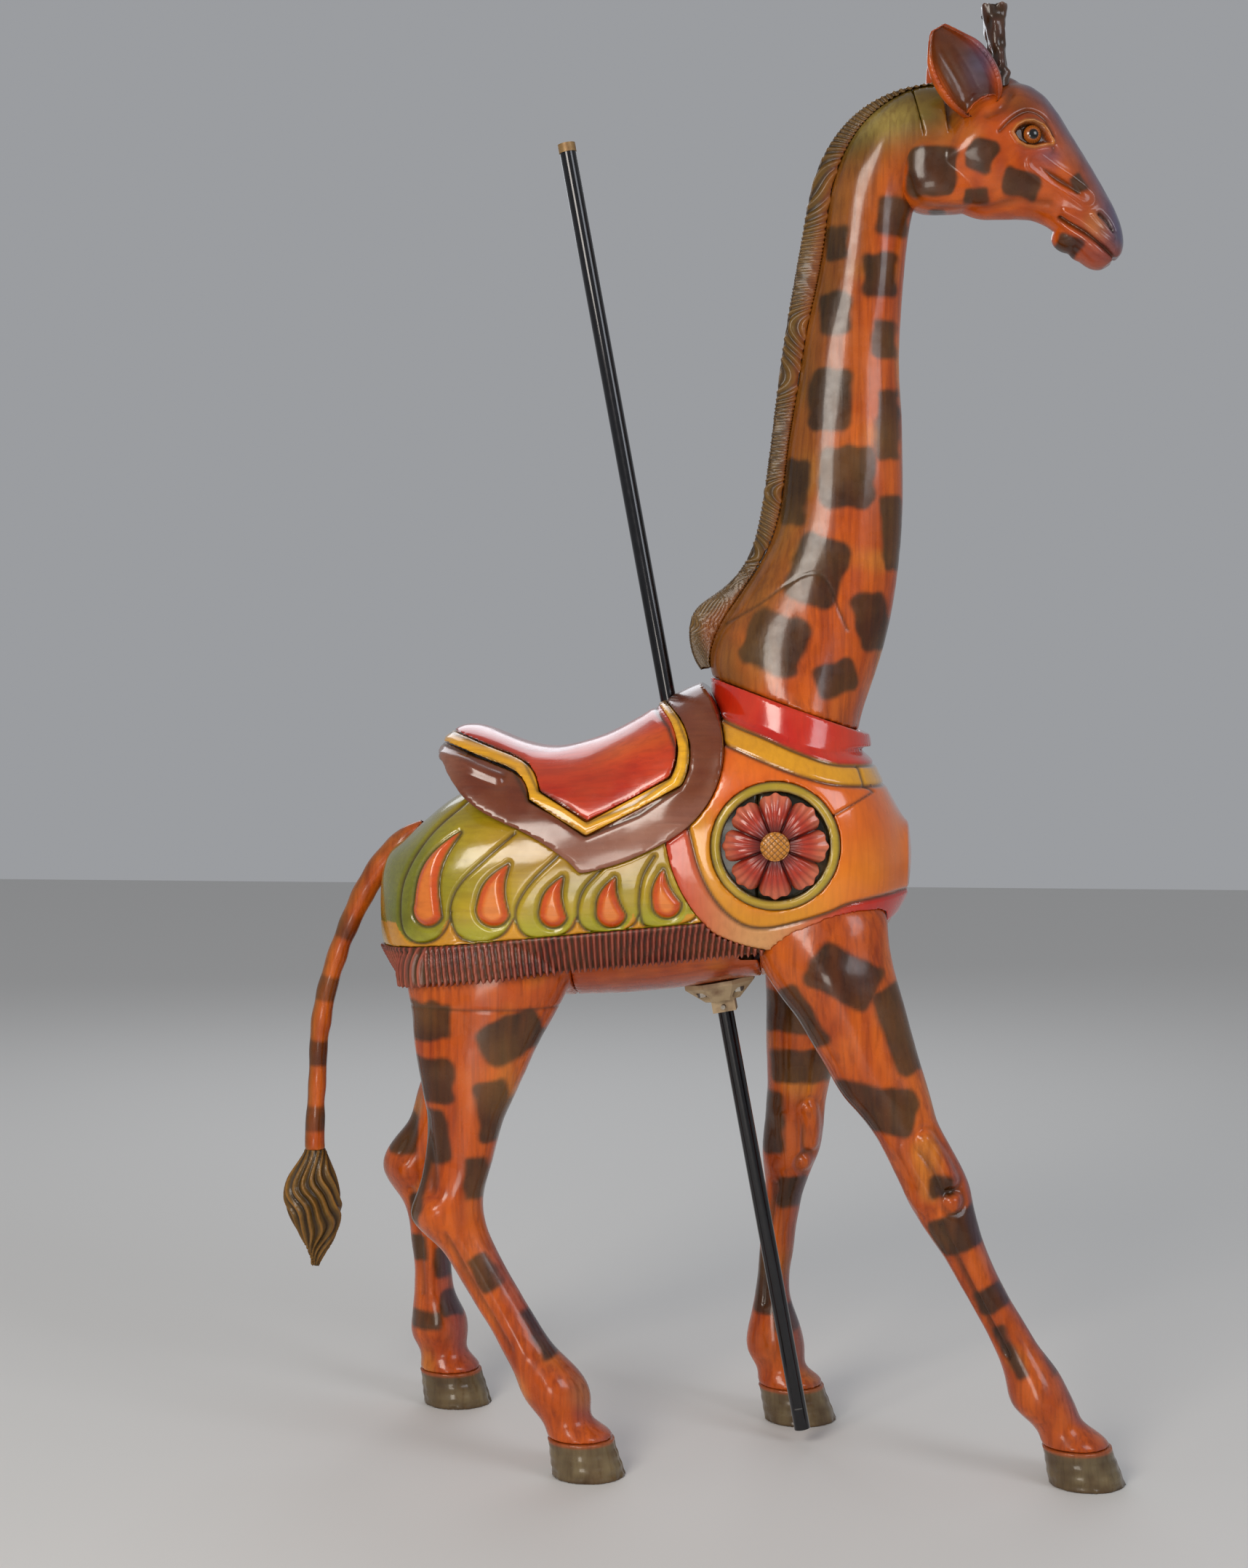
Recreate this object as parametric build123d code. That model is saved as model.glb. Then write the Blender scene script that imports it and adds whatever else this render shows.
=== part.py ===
"""Carved wooden carousel giraffe on a steel pole, about 1.95 m tall.

Millimetres. +X is the giraffe's front, -Y its right side, +Z up. The figure is glued up from
carved blocks and boards, so neighbouring pieces meet on flat glue faces. The steel pole slides
through a bored sleeve, and is the only thing that moves.
"""
import math
import os

from build123d import *

# ---------------------------------------------------------------- driving dimensions
POLE_DIA = 22.0
POLE_LENGTH = 1785.0
POLE_LEAN = 10.5              # degrees from upright, top towards the tail
POLE_FOOT = (165.0, 0.0, 22.0)  # centre of the pole's lower end
POLE_CLEARANCE = 0.6          # radial play of the pole in its sleeve
SLEEVE_WALL = 3.0
CAP_DIA = 24.0
CAP_HEIGHT = 12.0

RELIEF_BLANKET = 8.0          # how far each carved trapping stands off the body
RELIEF_FRINGE = 11.0
RELIEF_COLLAR = 9.0
RELIEF_SADDLE = 16.0
BORDER_WIDTH = 15.0           # painted border strip between saddle seat and skirt

BODY_SQUARENESS = 2.5         # superellipse power of the torso sections
REAR_JOINT_X = -140.0         # glue face between the rump block and the hollow box
FRONT_JOINT_X = 110.0         # glue face between the hollow box and the chest block
BOX_FLOOR_Z = 680.0           # top of the belly board
BOX_ROOF_Z = 890.0            # underside of the back board
BOX_HALF_WIDTH = 112.0        # inner face of each side board
HIND_LEG_JOINT_Z = 616.0
FRONT_LEG_JOINT_Z = 672.0
HOOF_HEIGHT = 50.0
CANNON_JOINT_Z = 300.0        # glue face between each upper leg and its cannon
NECK_JOINT_LEAN = 20.0        # slope of the face between chest and neck
NECK_LOWER_TOP_Z = 1300.0
NECK_MIDDLE_TOP_Z = 1550.0
HEAD_JOINT_LEAN = 76.0
MANE_THICKNESS = 26.0
EAR_WALL = 7.0
EYE_DIA = 30.0
EYE_X = 461.0
EYE_Z = 1767.0
EYE_OFF_CENTRE = 41.0
HORN_OFF_CENTRE = 24.0
HORN_LEAN = -5.0
EAR_LEAN = -29.0
FRINGE_DEPTH = 50.0
MEDALLION_RING = 13.0
DEEP = 400.0                  # half length of a cutting prism across the figure
PLATE_SIZE = 95.0             # across the flats of the octagonal belly plate
PLATE_EDGE = 6.0
PLATE_DEPTH = 28.0
HUB_SIZE = 32.0
HUB_DEPTH = 44.0
SCREW_CIRCLE = 34.0
SLEEVE_LENGTH = 384.0
PLATE_UP_POLE = 630.0         # distance up the pole from its foot to the plate's upper face
SCREW_DIA = 8.0
SCREW_LENGTH = 52.0
SCREW_HEAD = 7.5              # half width over the corners of the lag screws' hexagon heads
SCREW_HEAD_HEIGHT = 6.0
SCREW_POCKET_DIA = 18.0
SCREW_SEAT_DEPTH = 12.0
SET_SCREW_DIA = 6.0
SET_SCREW_LENGTH = 18.0
POLE_SLOT = (11.0, 7.0, 32.0)  # drive slot near the pole's foot
POLE_SLOT_HEIGHT = 45.0
BLOCK_REAR_X = -56.0          # wooden block the sleeve is housed in
BLOCK_FRONT_X = 96.0
BLOCK_HALF_WIDTH = 46.0
PETALS = 8
TOE_FRONT = 14.0              # how far each sole runs ahead of the pastern above it
TOE_HIND = 11.0
HOOF_FLARE = 6.0

MEDALLION_X = 133.0
MEDALLION_Z = 835.0
MEDALLION_RADIUS = 84.0
FLOWER_RADIUS = 67.0
BOSS_RADIUS = 19.0
DOWEL_DIA = 20.0

# Torso stations: x, top z, bottom z, half width
TORSO = [
    (-401, 792, 690, 52),
    (-386, 822, 655, 98),
    (-355, 848, 632, 132),
    (-310, 884, 622, 152),
    (-230, 910, 620, 160),
    (-120, 935, 622, 162),
    (0, 985, 632, 160),
    (100, 1012, 648, 158),
    (190, 985, 662, 150),
    (250, 935, 690, 124),
    (282, 884, 726, 86),
    (293, 850, 770, 46),
]
# Saddle stations: x, top z, half width
SADDLE = [
    (-345, 930, 118),
    (-325, 972, 136),
    (-295, 990, 158),
    (-245, 978, 172),
    (-193, 962, 177),
    (-120, 972, 178),
    (-45, 1010, 177),
    (20, 1046, 176),
    (70, 1056, 176),
]
# Neck stations: x, z, half depth, half width, lean of the section in degrees
NECK = [
    (146, 960, 98, 116, 0),
    (150, 1040, 103, 98, 0),
    (159, 1110, 116, 84, 0),
    (186, 1176, 101, 73, 2),
    (207, 1240, 87, 66, 2),
    (216, 1320, 80, 60, 1),
    (221, 1410, 73, 54, 1),
    (227, 1500, 64, 50, 4),
    (240, 1600, 57, 46, 7),
    (248, 1665, 56, 44, 12),
    (264, 1725, 58, 44, 28),
    (303, 1768, 62, 46, 58),
    (352, 1781, 60, 48, 84),
]
# Head stations: x, z, half height, half width, lean of the section in degrees
HEAD_SECTIONS = [
    (325, 1772, 62, 44, 102),
    (366, 1767, 86, 54, 122),
    (424, 1751, 93, 62, 127),
    (462, 1726, 77, 52, 127),
    (498, 1706, 55, 43, 127),
    (529, 1673, 43, 37, 132),
    (549, 1640, 38, 37, 140),
    (562, 1618, 30, 31, 142),
    (571, 1606, 15, 17, 142),
]
HORN = [(422, 1832, 12), (420, 1862, 12), (417, 1900, 13), (414, 1926, 16), (412, 1942, 17)]
# Ear stations: x, z, distance from the centre plane, half across, half thickness
EAR = [
    (404, 1788, 40, 15, 13),
    (394, 1811, 50, 33, 17),
    (374, 1843, 62, 42, 17),
    (352, 1876, 72, 31, 13),
    (338, 1901, 79, 11, 6),
]
# Leg stations: z, x, y, half depth, half width. y is the distance from the centre plane.
HIND_LEG_FORWARD = [
    (740, -254, 84, 92, 58),
    (690, -254, 92, 108, 72),
    (650, -254, 98, 112, 72),
    (616, -258, 102, 101, 68),
    (570, -268, 108, 85, 62),
    (500, -277, 118, 63, 52),
    (457, -283, 124, 50, 45),
    (415, -289, 129, 46, 39),
    (365, -301, 135, 45, 37),
    (338, -304, 138, 49, 37),
    (300, -280, 142, 39, 32),
    (240, -242, 146, 35, 28),
    (200, -216, 149, 34, 27),
    (165, -193, 151, 37, 30),
    (128, -165, 154, 45, 38),
    (98, -153, 156, 44, 37),
    (76, -143, 157, 36, 33),
    (58, -127, 157, 42, 40),
    (50, -123, 157, 43, 42),
]
HIND_LEG_BACK = [
    (740, -254, 84, 92, 58),
    (690, -256, 92, 108, 72),
    (650, -260, 98, 110, 72),
    (616, -268, 102, 100, 68),
    (570, -286, 108, 84, 62),
    (500, -317, 118, 63, 52),
    (457, -342, 124, 52, 45),
    (415, -362, 129, 46, 39),
    (368, -395, 134, 46, 37),
    (342, -400, 137, 45, 36),
    (300, -386, 142, 34, 32),
    (240, -379, 146, 28, 28),
    (200, -376, 149, 27, 27),
    (160, -374, 151, 30, 30),
    (124, -368, 154, 40, 38),
    (96, -367, 156, 40, 37),
    (76, -362, 157, 35, 33),
    (58, -354, 157, 41, 40),
    (50, -352, 157, 43, 42),
]
FRONT_LEG_FORWARD = [
    (760, 190, 82, 70, 50),
    (715, 192, 90, 88, 60),
    (672, 200, 96, 87, 60),
    (640, 214, 99, 82, 58),
    (605, 232, 102, 74, 54),
    (545, 259, 107, 64, 48),
    (500, 280, 111, 57, 43),
    (462, 302, 114, 47, 38),
    (430, 321, 116, 46, 38),
    (395, 338, 118, 46, 38),
    (350, 356, 120, 40, 34),
    (300, 380, 121, 31, 29),
    (243, 411, 122, 28, 26),
    (180, 448, 123, 30, 27),
    (128, 475, 124, 39, 37),
    (98, 487, 125, 41, 37),
    (78, 503, 125, 36, 33),
    (60, 522, 125, 42, 40),
    (50, 528, 125, 44, 43),
]
FRONT_LEG_BACK = [
    (760, 190, 82, 70, 50),
    (715, 190, 90, 86, 60),
    (672, 188, 96, 80, 60),
    (640, 182, 99, 74, 57),
    (605, 175, 102, 66, 53),
    (545, 163, 107, 54, 47),
    (500, 156, 111, 46, 42),
    (455, 151, 114, 42, 39),
    (420, 148, 116, 42, 38),
    (385, 143, 118, 40, 37),
    (342, 137, 120, 30, 32),
    (300, 130, 121, 25, 28),
    (240, 123, 122, 24, 26),
    (175, 118, 123, 26, 27),
    (128, 121, 124, 38, 37),
    (95, 124, 125, 40, 37),
    (76, 130, 125, 36, 33),
    (60, 140, 125, 43, 40),
    (50, 144, 125, 45, 43),
]
# Tail stations: x, z, half depth, half width, lean of the path in degrees from upright
TAIL = [
    (-352, 848, 19, 19, 52),
    (-395, 818, 19, 19, 50),
    (-432, 776, 17, 17, 38),
    (-470, 700, 14, 14, 22),
    (-497, 620, 14, 14, 14),
    (-510, 530, 13, 13, 5),
    (-514, 450, 13, 13, 2),
    (-515, 396, 14, 14, 0),
]
TUFT = [
    (-515, 396, 14, 14, 0),
    (-519, 362, 30, 24, 0),
    (-519, 325, 38, 31, 0),
    (-514, 292, 31, 26, 0),
    (-512, 258, 14, 13, 0),
    (-516, 232, 4, 4, 0),
]

pole_up = Vector(-math.sin(math.radians(POLE_LEAN)), 0, math.cos(math.radians(POLE_LEAN)))


# ---------------------------------------------------------------- helpers
def leaning_plane(x, y, z, lean):
    """Section plane whose normal leans `lean` degrees from +Z towards +X."""
    tilt = math.radians(lean)
    across = (math.cos(tilt), 0, -math.sin(tilt))
    along = (math.sin(tilt), 0, math.cos(tilt))
    return Plane(origin=(x, y, z), x_dir=across, z_dir=along)


def oval(x, y, z, half_depth, half_width, lean=0.0):
    """Elliptic section on a leaning plane."""
    return leaning_plane(x, y, z, lean) * Ellipse(half_depth, half_width)


def stack(stations):
    """Loft through oval stations (x, z, half depth, half width, lean) on the centre plane."""
    sections = []
    for x, z, depth, width, lean in stations:
        sections.append(oval(x, 0, z, depth, width, lean))
    return loft(sections)


def squircle(x, top, bottom, half_width):
    """Closed superellipse section on a plane facing +X."""
    half_height = (top - bottom) / 2
    middle = (top + bottom) / 2
    points = []
    for step in range(20):
        angle = 2 * math.pi * step / 20
        c = math.cos(angle)
        s = math.sin(angle)
        y = half_width * math.copysign(abs(c) ** (2 / BODY_SQUARENESS), c)
        z = middle + half_height * math.copysign(abs(s) ** (2 / BODY_SQUARENESS), s)
        points.append((x, y, z))
    return make_face(Spline(points, periodic=True))


def torso(grow=0.0):
    """Torso form, grown outwards by a relief height."""
    sections = []
    for index, (x, top, bottom, width) in enumerate(TORSO):
        end_push = 0.0
        if index == 0:
            end_push = -grow
        if index == len(TORSO) - 1:
            end_push = grow
        sections.append(squircle(x + end_push, top + grow, bottom - grow, width + grow))
    return loft(sections)


def side_prism(outline):
    """Prism through the whole figure from a closed XZ outline."""
    return extrude(make_face(outline), DEEP, both=True)


def side_polygon(points):
    """Prism through the whole figure from a polygon in XZ."""
    return side_prism(Polyline([(x, 0, z) for x, z in points], close=True))


def block(x0, x1, y0, y1, z0, z1):
    """Box between two corners."""
    centre = ((x0 + x1) / 2, (y0 + y1) / 2, (z0 + z1) / 2)
    return Pos(*centre) * Box(x1 - x0, y1 - y0, z1 - z0)


def half(side):
    """Half space on the giraffe's right (-1) or left (+1)."""
    if side < 0:
        return block(-DEEP * 3, DEEP * 3, -DEEP, 0, -10, 2200)
    return block(-DEEP * 3, DEEP * 3, 0, DEEP, -10, 2200)


def rod(start, direction, length, radius):
    """Round rod from a start point along a direction."""
    return Plane(origin=start, z_dir=direction) * Cylinder(
        radius, length, align=(Align.CENTER, Align.CENTER, Align.MIN)
    )


def leg(stations, side, grow=0.0):
    """Leg form through horizontal ovals on the right (-1) or left (+1)."""
    sections = []
    for z, x, y, depth, width in stations:
        sections.append(oval(x, side * y, z, depth + grow, width + grow))
    return loft(sections)


def on_pole(height):
    """Point on the pole's centre line, at a distance above its foot."""
    return Vector(*POLE_FOOT) + pole_up * height


# ---------------------------------------------------------------- outlines seen from the side
def saddle_outline():
    """Edge of the saddle skirt: round front, pointed below, swept back to the cantle."""
    front = ThreePointArc((12, 0, 1060), (64, 0, 956), (20, 0, 860))
    lower = ThreePointArc((20, 0, 860), (-48, 0, 820), (-122, 0, 798))
    rear = Spline([(-122, 0, 798), (-212, 0, 857), (-280, 0, 896), (-316, 0, 938), (-352, 0, 962)])
    over = Polyline([(-352, 0, 962), (-380, 0, 1100), (12, 0, 1100), (12, 0, 1060)])
    return Wire([front, lower, rear] + over.edges())


def border_outline(inset):
    """Edge of the saddle's border strip, moved inwards by an inset."""

    def at(x, z, move_x, move_z):
        return (x + inset * move_x, 0, z + inset * move_z)

    nose = at(11, 914, -1, 0.6)
    point = at(-114, 847, 0, 1.15)
    notch = at(-192, 893, 0.78, 0.7)
    top = at(-22, 1022, -1, 0)
    tail_end = at(-372, 966, 0, 1)
    front = ThreePointArc(top, at(19, 965, -1, 0), nose)
    cantle = [at(-205, 922, 0.6, 0.8), at(-250, 944, 0.38, 0.92), at(-312, 966, 0.15, 1)]
    rear = Spline([notch] + cantle + [tail_end])
    over = Polyline([tail_end, at(-390, 1110, 0, 0), at(-40, 1110, -1, 0), top])
    return Wire([front, Line(nose, point), Line(point, notch), rear] + over.edges())


def collar_outline():
    """Breast collar: from the neck joint down to the curved lower border."""
    rear = ThreePointArc((-12, 0, 880), (8, 0, 780), (52, 0, 719))
    lower = ThreePointArc((52, 0, 719), (140, 0, 694), (290, 0, 738))
    over = Polyline([(290, 0, 738), (420, 0, 738), (420, 0, 1110), (-12, 0, 1110), (-12, 0, 880)])
    return Wire([rear, lower] + over.edges())


def mane_outline():
    """Mane blade: its free edge, closed deep inside the neck."""
    edge = [(350, 1846), (300, 1842), (240, 1816), (183, 1744), (160, 1650), (134, 1497), (106, 1283)]
    hump = [(86, 1214), (52, 1174), (14, 1142), (8, 1108), (24, 1064)]
    points = [(x, 0, z) for x, z in edge + hump]
    inner = [(24, 1064), (140, 1090), (215, 1300), (235, 1600), (290, 1765), (350, 1800), (350, 1846)]
    return Wire([Spline(points)] + Polyline([(x, 0, z) for x, z in inner]).edges())


def ear_leaf(side, wall):
    """Leaf-shaped ear; a wall thickness gives the hollow that is cut from its outer side."""
    sections = []
    for x, z, y, half_across, half_thick in EAR:
        outwards = side * (y + wall)
        sections.append(oval(x, outwards, z, half_across - wall, half_thick - wall * 0.3, EAR_LEAN))
    return loft(sections)


def neck_band():
    """Collar band round the foot of the neck."""
    sections = []
    for x, z, depth, width, lean in NECK[:3]:
        sections.append(oval(x, 0, z, depth + RELIEF_COLLAR, width + RELIEF_COLLAR, lean))
    return loft(sections)


def fringe_line(x):
    """Height of the seam between blanket and fringe."""
    return 693 + (x + 372) * 0.0988


# ---------------------------------------------------------------- forms
SIDES = {"right": -1, "left": 1}
torso_form = torso()
neck_form = stack(NECK)
head_form = stack(HEAD_SECTIONS)
tail_form = stack(TAIL)
leg_stations = {
    "right_hind": HIND_LEG_FORWARD,
    "left_hind": HIND_LEG_BACK,
    "right_front": FRONT_LEG_FORWARD,
    "left_front": FRONT_LEG_BACK,
}


def leg_side(name):
    """-1 for a right leg, +1 for a left one."""
    return SIDES[name.split("_")[0]]


def leg_joint(name):
    """Height of the glue face at the top of a leg."""
    if name.endswith("hind"):
        return HIND_LEG_JOINT_Z
    return FRONT_LEG_JOINT_Z


def above(z):
    """Everything above a height."""
    return block(-700, 700, -DEEP, DEEP, z, 2300)


def below(z):
    """Everything below a height."""
    return block(-700, 700, -DEEP, DEEP, -10, z)


neck_joint = leaning_plane(130, 0, 1022, NECK_JOINT_LEAN)
above_neck_joint = neck_joint * Pos(0, 0, 600) * Box(1200, 800, 1200)
below_neck_joint = neck_joint * Pos(0, 0, -600) * Box(1200, 800, 1200)
head_joint = leaning_plane(322, 0, 1772, HEAD_JOINT_LEAN)
behind_head_joint = head_joint * Pos(0, 0, -250) * Box(500, 400, 500)
beyond_head_joint = head_joint * Pos(0, 0, 100) * Box(240, 400, 200)

leg_forms = {}
trunk = torso_form + (neck_form & below_neck_joint)
for name, stations in leg_stations.items():
    leg_forms[name] = leg(stations, leg_side(name))
    trunk = trunk + (leg_forms[name] & above(leg_joint(name)))

saddle_sections = []
for x, top, width in SADDLE:
    saddle_sections.append(squircle(x, top, 560, width))
saddle_region = side_prism(saddle_outline())
saddle_form = loft(saddle_sections) & saddle_region
collar_region = side_prism(collar_outline()) - saddle_region
sleeve_outer = POLE_DIA / 2 + POLE_CLEARANCE + SLEEVE_WALL
bore = rod(on_pole(560), pole_up, 560, sleeve_outer)
pole_passage = rod(on_pole(-60), pole_up, POLE_LENGTH + 200, POLE_DIA / 2 + POLE_CLEARANCE)

nodes = {}

# ---------------------------------------------------------------- saddle
seat_prism = side_prism(border_outline(BORDER_WIDTH))
border_prism = side_prism(border_outline(0))
nodes["saddle_seat"] = (saddle_form & seat_prism) - trunk - bore
nodes["saddle_border"] = ((saddle_form & border_prism) - seat_prism) - trunk - bore
nodes["saddle_skirt"] = (saddle_form - border_prism) - trunk - bore

# ---------------------------------------------------------------- blanket, fringe, collar
def trappings(grow):
    """Body surface grown by a relief height, thighs included."""
    form = torso(grow)
    for name in ("right_hind", "left_hind"):
        form = form + (leg(leg_stations[name], leg_side(name), grow) & above(600))
    return form


seam = [(-500, fringe_line(-500)), (200, fringe_line(200))]
above_seam = side_polygon(seam + [(200, 1200), (-500, 1200)])
hem = [(-500, fringe_line(-500) - FRINGE_DEPTH), (200, fringe_line(200) - FRINGE_DEPTH)]
fringe_band = side_polygon(seam + hem[::-1])
behind_collar = block(-500, 120, -DEEP, DEEP, 560, 1200) - side_prism(collar_outline()) - saddle_region
blanket = (trappings(RELIEF_BLANKET) & above_seam & behind_collar) - trunk - tail_form
fringe = (trappings(RELIEF_FRINGE) & fringe_band & behind_collar) - trunk
for side_name, side in SIDES.items():
    nodes["blanket_" + side_name] = blanket & half(side)
    nodes["fringe_" + side_name] = fringe & half(side)
collar = (torso(RELIEF_COLLAR) & collar_region) - trunk - neck_form
collar_top = neck_band() & below_neck_joint & collar_region
collar = (collar + collar_top) - trunk - neck_form

flower_form = torso(RELIEF_COLLAR + 1)
ring_form = torso(RELIEF_COLLAR + 2)
boss_form = torso(RELIEF_COLLAR + 7)
petals = Circle(FLOWER_RADIUS * 0.6)
for k in range(PETALS):
    petal = Pos(FLOWER_RADIUS * 0.65, 0) * Circle(FLOWER_RADIUS * 0.35)
    petals = petals + Rot(0, 0, 360 / PETALS * k) * petal
for side_name, side in SIDES.items():
    face_plane = Plane(origin=(MEDALLION_X, 0, MEDALLION_Z), x_dir=(1, 0, 0), z_dir=(0, side, 0))
    disc = extrude(face_plane * Circle(MEDALLION_RADIUS), DEEP)
    recess = extrude(face_plane * Circle(MEDALLION_RADIUS - MEDALLION_RING), DEEP)
    middle = extrude(face_plane * Circle(BOSS_RADIUS), DEEP)
    flower = (flower_form & extrude(face_plane * petals, DEEP)) - trunk
    ring = (ring_form & (disc - recess)) - trunk
    boss = (boss_form & middle) - trunk
    collar = collar - disc
    nodes["medallion_flower_" + side_name] = flower - middle
    nodes["medallion_ring_" + side_name] = ring
    nodes["medallion_boss_" + side_name] = boss
for side_name, side in SIDES.items():
    nodes["breast_collar_" + side_name] = collar & half(side)

# ---------------------------------------------------------------- body blocks and boards
nodes["rump_block"] = trunk & block(-500, REAR_JOINT_X, -DEEP, DEEP, 500, 1300)
nodes["chest_block"] = trunk & block(FRONT_JOINT_X, 500, -DEEP, DEEP, 500, 1300)
box_part = trunk & block(REAR_JOINT_X, FRONT_JOINT_X, -DEEP, DEEP, 500, 1300)
nodes["belly_board"] = (box_part & below(BOX_FLOOR_Z)) - bore
nodes["back_board"] = (box_part & above(BOX_ROOF_Z)) - bore
for side_name, side in SIDES.items():
    y0, y1 = sorted((side * BOX_HALF_WIDTH, side * DEEP))
    slab = block(REAR_JOINT_X, FRONT_JOINT_X, y0, y1, BOX_FLOOR_Z, BOX_ROOF_Z)
    nodes["side_board_" + side_name] = trunk & slab
housing = block(BLOCK_REAR_X, BLOCK_FRONT_X, -BLOCK_HALF_WIDTH, BLOCK_HALF_WIDTH, BOX_FLOOR_Z, BOX_ROOF_Z)
nodes["pole_block"] = housing - bore

# ---------------------------------------------------------------- neck, head, mane
neck_pieces = (neck_form & above_neck_joint) - trunk
nodes["neck_lower"] = neck_pieces & below(NECK_LOWER_TOP_Z)
nodes["neck_middle"] = neck_pieces & above(NECK_LOWER_TOP_Z) & below(NECK_MIDDLE_TOP_Z)
nodes["neck_upper"] = neck_pieces & above(NECK_MIDDLE_TOP_Z) & behind_head_joint
head = head_form + (neck_form & beyond_head_joint)
head = head - nodes["neck_upper"]
mane_blade = side_prism(mane_outline()) & block(-100, 500, -MANE_THICKNESS / 2, MANE_THICKNESS / 2, 900, 2000)
nodes["mane"] = mane_blade - neck_form - trunk - head_form
for side_name, side in SIDES.items():
    eye = Pos(EYE_X, side * EYE_OFF_CENTRE, EYE_Z) * Sphere(EYE_DIA / 2)
    ear = ear_leaf(side, 0) - ear_leaf(side, EAR_WALL)
    horn_sections = []
    for x, z, radius in HORN:
        horn_sections.append(oval(x, side * HORN_OFF_CENTRE, z, radius, radius, HORN_LEAN))
    horn = loft(horn_sections)
    nodes["ear_" + side_name] = ear - head
    nodes["horn_" + side_name] = horn - head
    nodes["glass_eye_" + side_name] = eye
    head = head - eye
nodes["head"] = head

# ---------------------------------------------------------------- legs, hooves, tail
for name, form in leg_forms.items():
    upper = form & below(leg_joint(name)) & above(CANNON_JOINT_Z)
    nodes["upper_leg_" + name] = upper - trunk
    nodes["cannon_" + name] = form & below(CANNON_JOINT_Z) & above(HOOF_HEIGHT)
    _, x, y, depth, width = leg_stations[name][-1]
    toe = TOE_FRONT if name.endswith("front") else TOE_HIND
    hoof_sections = []
    for share in (1.0, 0.5, 0.0):
        height = HOOF_HEIGHT * (1 - share)
        flare = HOOF_FLARE * share
        hoof_sections.append(oval(x + toe * share, leg_side(name) * y, height, depth + flare, width + flare))
    nodes["hoof_" + name] = loft(hoof_sections)
nodes["tail"] = tail_form - trunk
nodes["tail_tuft"] = stack(TUFT)

# ---------------------------------------------------------------- pole, sleeve, belly plate
octagon = PLATE_SIZE / 2 / math.cos(math.pi / 8)
plate_plane = Plane(origin=on_pole(PLATE_UP_POLE), x_dir=(pole_up.Z, 0, -pole_up.X), z_dir=pole_up)
flange = RegularPolygon(octagon, 8, rotation=22.5)
foot = RegularPolygon(octagon * 0.5, 8, rotation=22.5)
plate = plate_plane * extrude(flange, -PLATE_EDGE)
taper = [plate_plane * Pos(0, 0, -PLATE_EDGE) * flange, plate_plane * Pos(0, 0, -PLATE_DEPTH) * foot]
plate = plate + loft(taper)
hub = plate_plane * Pos(0, 0, -HUB_DEPTH / 2) * Box(HUB_SIZE, HUB_SIZE, HUB_DEPTH)
screws = []
pockets = []
for k in range(4):
    angle = math.radians(45 + 90 * k)
    seat = Pos(SCREW_CIRCLE * math.cos(angle), SCREW_CIRCLE * math.sin(angle), -SCREW_SEAT_DEPTH)
    place = plate_plane * seat
    upwards = (Align.CENTER, Align.CENTER, Align.MIN)
    downwards = (Align.CENTER, Align.CENTER, Align.MAX)
    shank = place * Cylinder(SCREW_DIA / 2, SCREW_LENGTH, align=upwards)
    screws.append(shank + extrude(place * RegularPolygon(SCREW_HEAD, 6), -SCREW_HEAD_HEIGHT))
    pockets.append(place * Cylinder(SCREW_POCKET_DIA / 2, PLATE_DEPTH + SCREW_SEAT_DEPTH, align=downwards))
    pockets.append(place * Cylinder(SCREW_DIA / 2, SCREW_LENGTH, align=upwards))
plate = plate - trunk
for pocket in pockets:
    plate = plate - pocket
    nodes["belly_board"] = nodes["belly_board"] - pocket
    nodes["pole_block"] = nodes["pole_block"] - pocket
set_screw_place = plate_plane * Pos(0, 0, -HUB_DEPTH + 8) * Rot(90, 0, 0)
set_screw = set_screw_place * Pos(0, 0, POLE_DIA / 2 + POLE_CLEARANCE) * Cylinder(
    SET_SCREW_DIA / 2, SET_SCREW_LENGTH, align=(Align.CENTER, Align.CENTER, Align.MIN)
)
nodes["belly_plate"] = plate - hub - pole_passage
nodes["plate_hub"] = (hub - trunk) - pole_passage - set_screw
nodes["plate_set_screw"] = set_screw
groups = {"plate_lag_screws": screws}
sleeve = rod(on_pole(PLATE_UP_POLE), pole_up, SLEEVE_LENGTH, sleeve_outer) - pole_passage
nodes["pole_sleeve"] = sleeve - nodes["plate_hub"] - nodes["belly_plate"]
pole = rod(on_pole(0), pole_up, POLE_LENGTH - CAP_HEIGHT, POLE_DIA / 2)
slot_place = Plane(origin=on_pole(POLE_SLOT_HEIGHT), x_dir=(pole_up.Z, 0, -pole_up.X), z_dir=pole_up)
nodes["pole"] = pole - slot_place * Pos(0, -POLE_DIA / 2, 0) * Box(*POLE_SLOT)
nodes["pole_cap"] = rod(on_pole(POLE_LENGTH - CAP_HEIGHT), pole_up, CAP_HEIGHT, CAP_DIA / 2)

# ---------------------------------------------------------------- glue dowels
DOWELLED = ("rump", "chest", "neck", "head", "upper_leg", "cannon", "hoof")


def dowel(x, y, z, lean=0.0, length=80.0, dia=DOWEL_DIA):
    """Round dowel centred on a glue face."""
    return leaning_plane(x, y, z, lean) * Cylinder(dia / 2, length)


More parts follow.
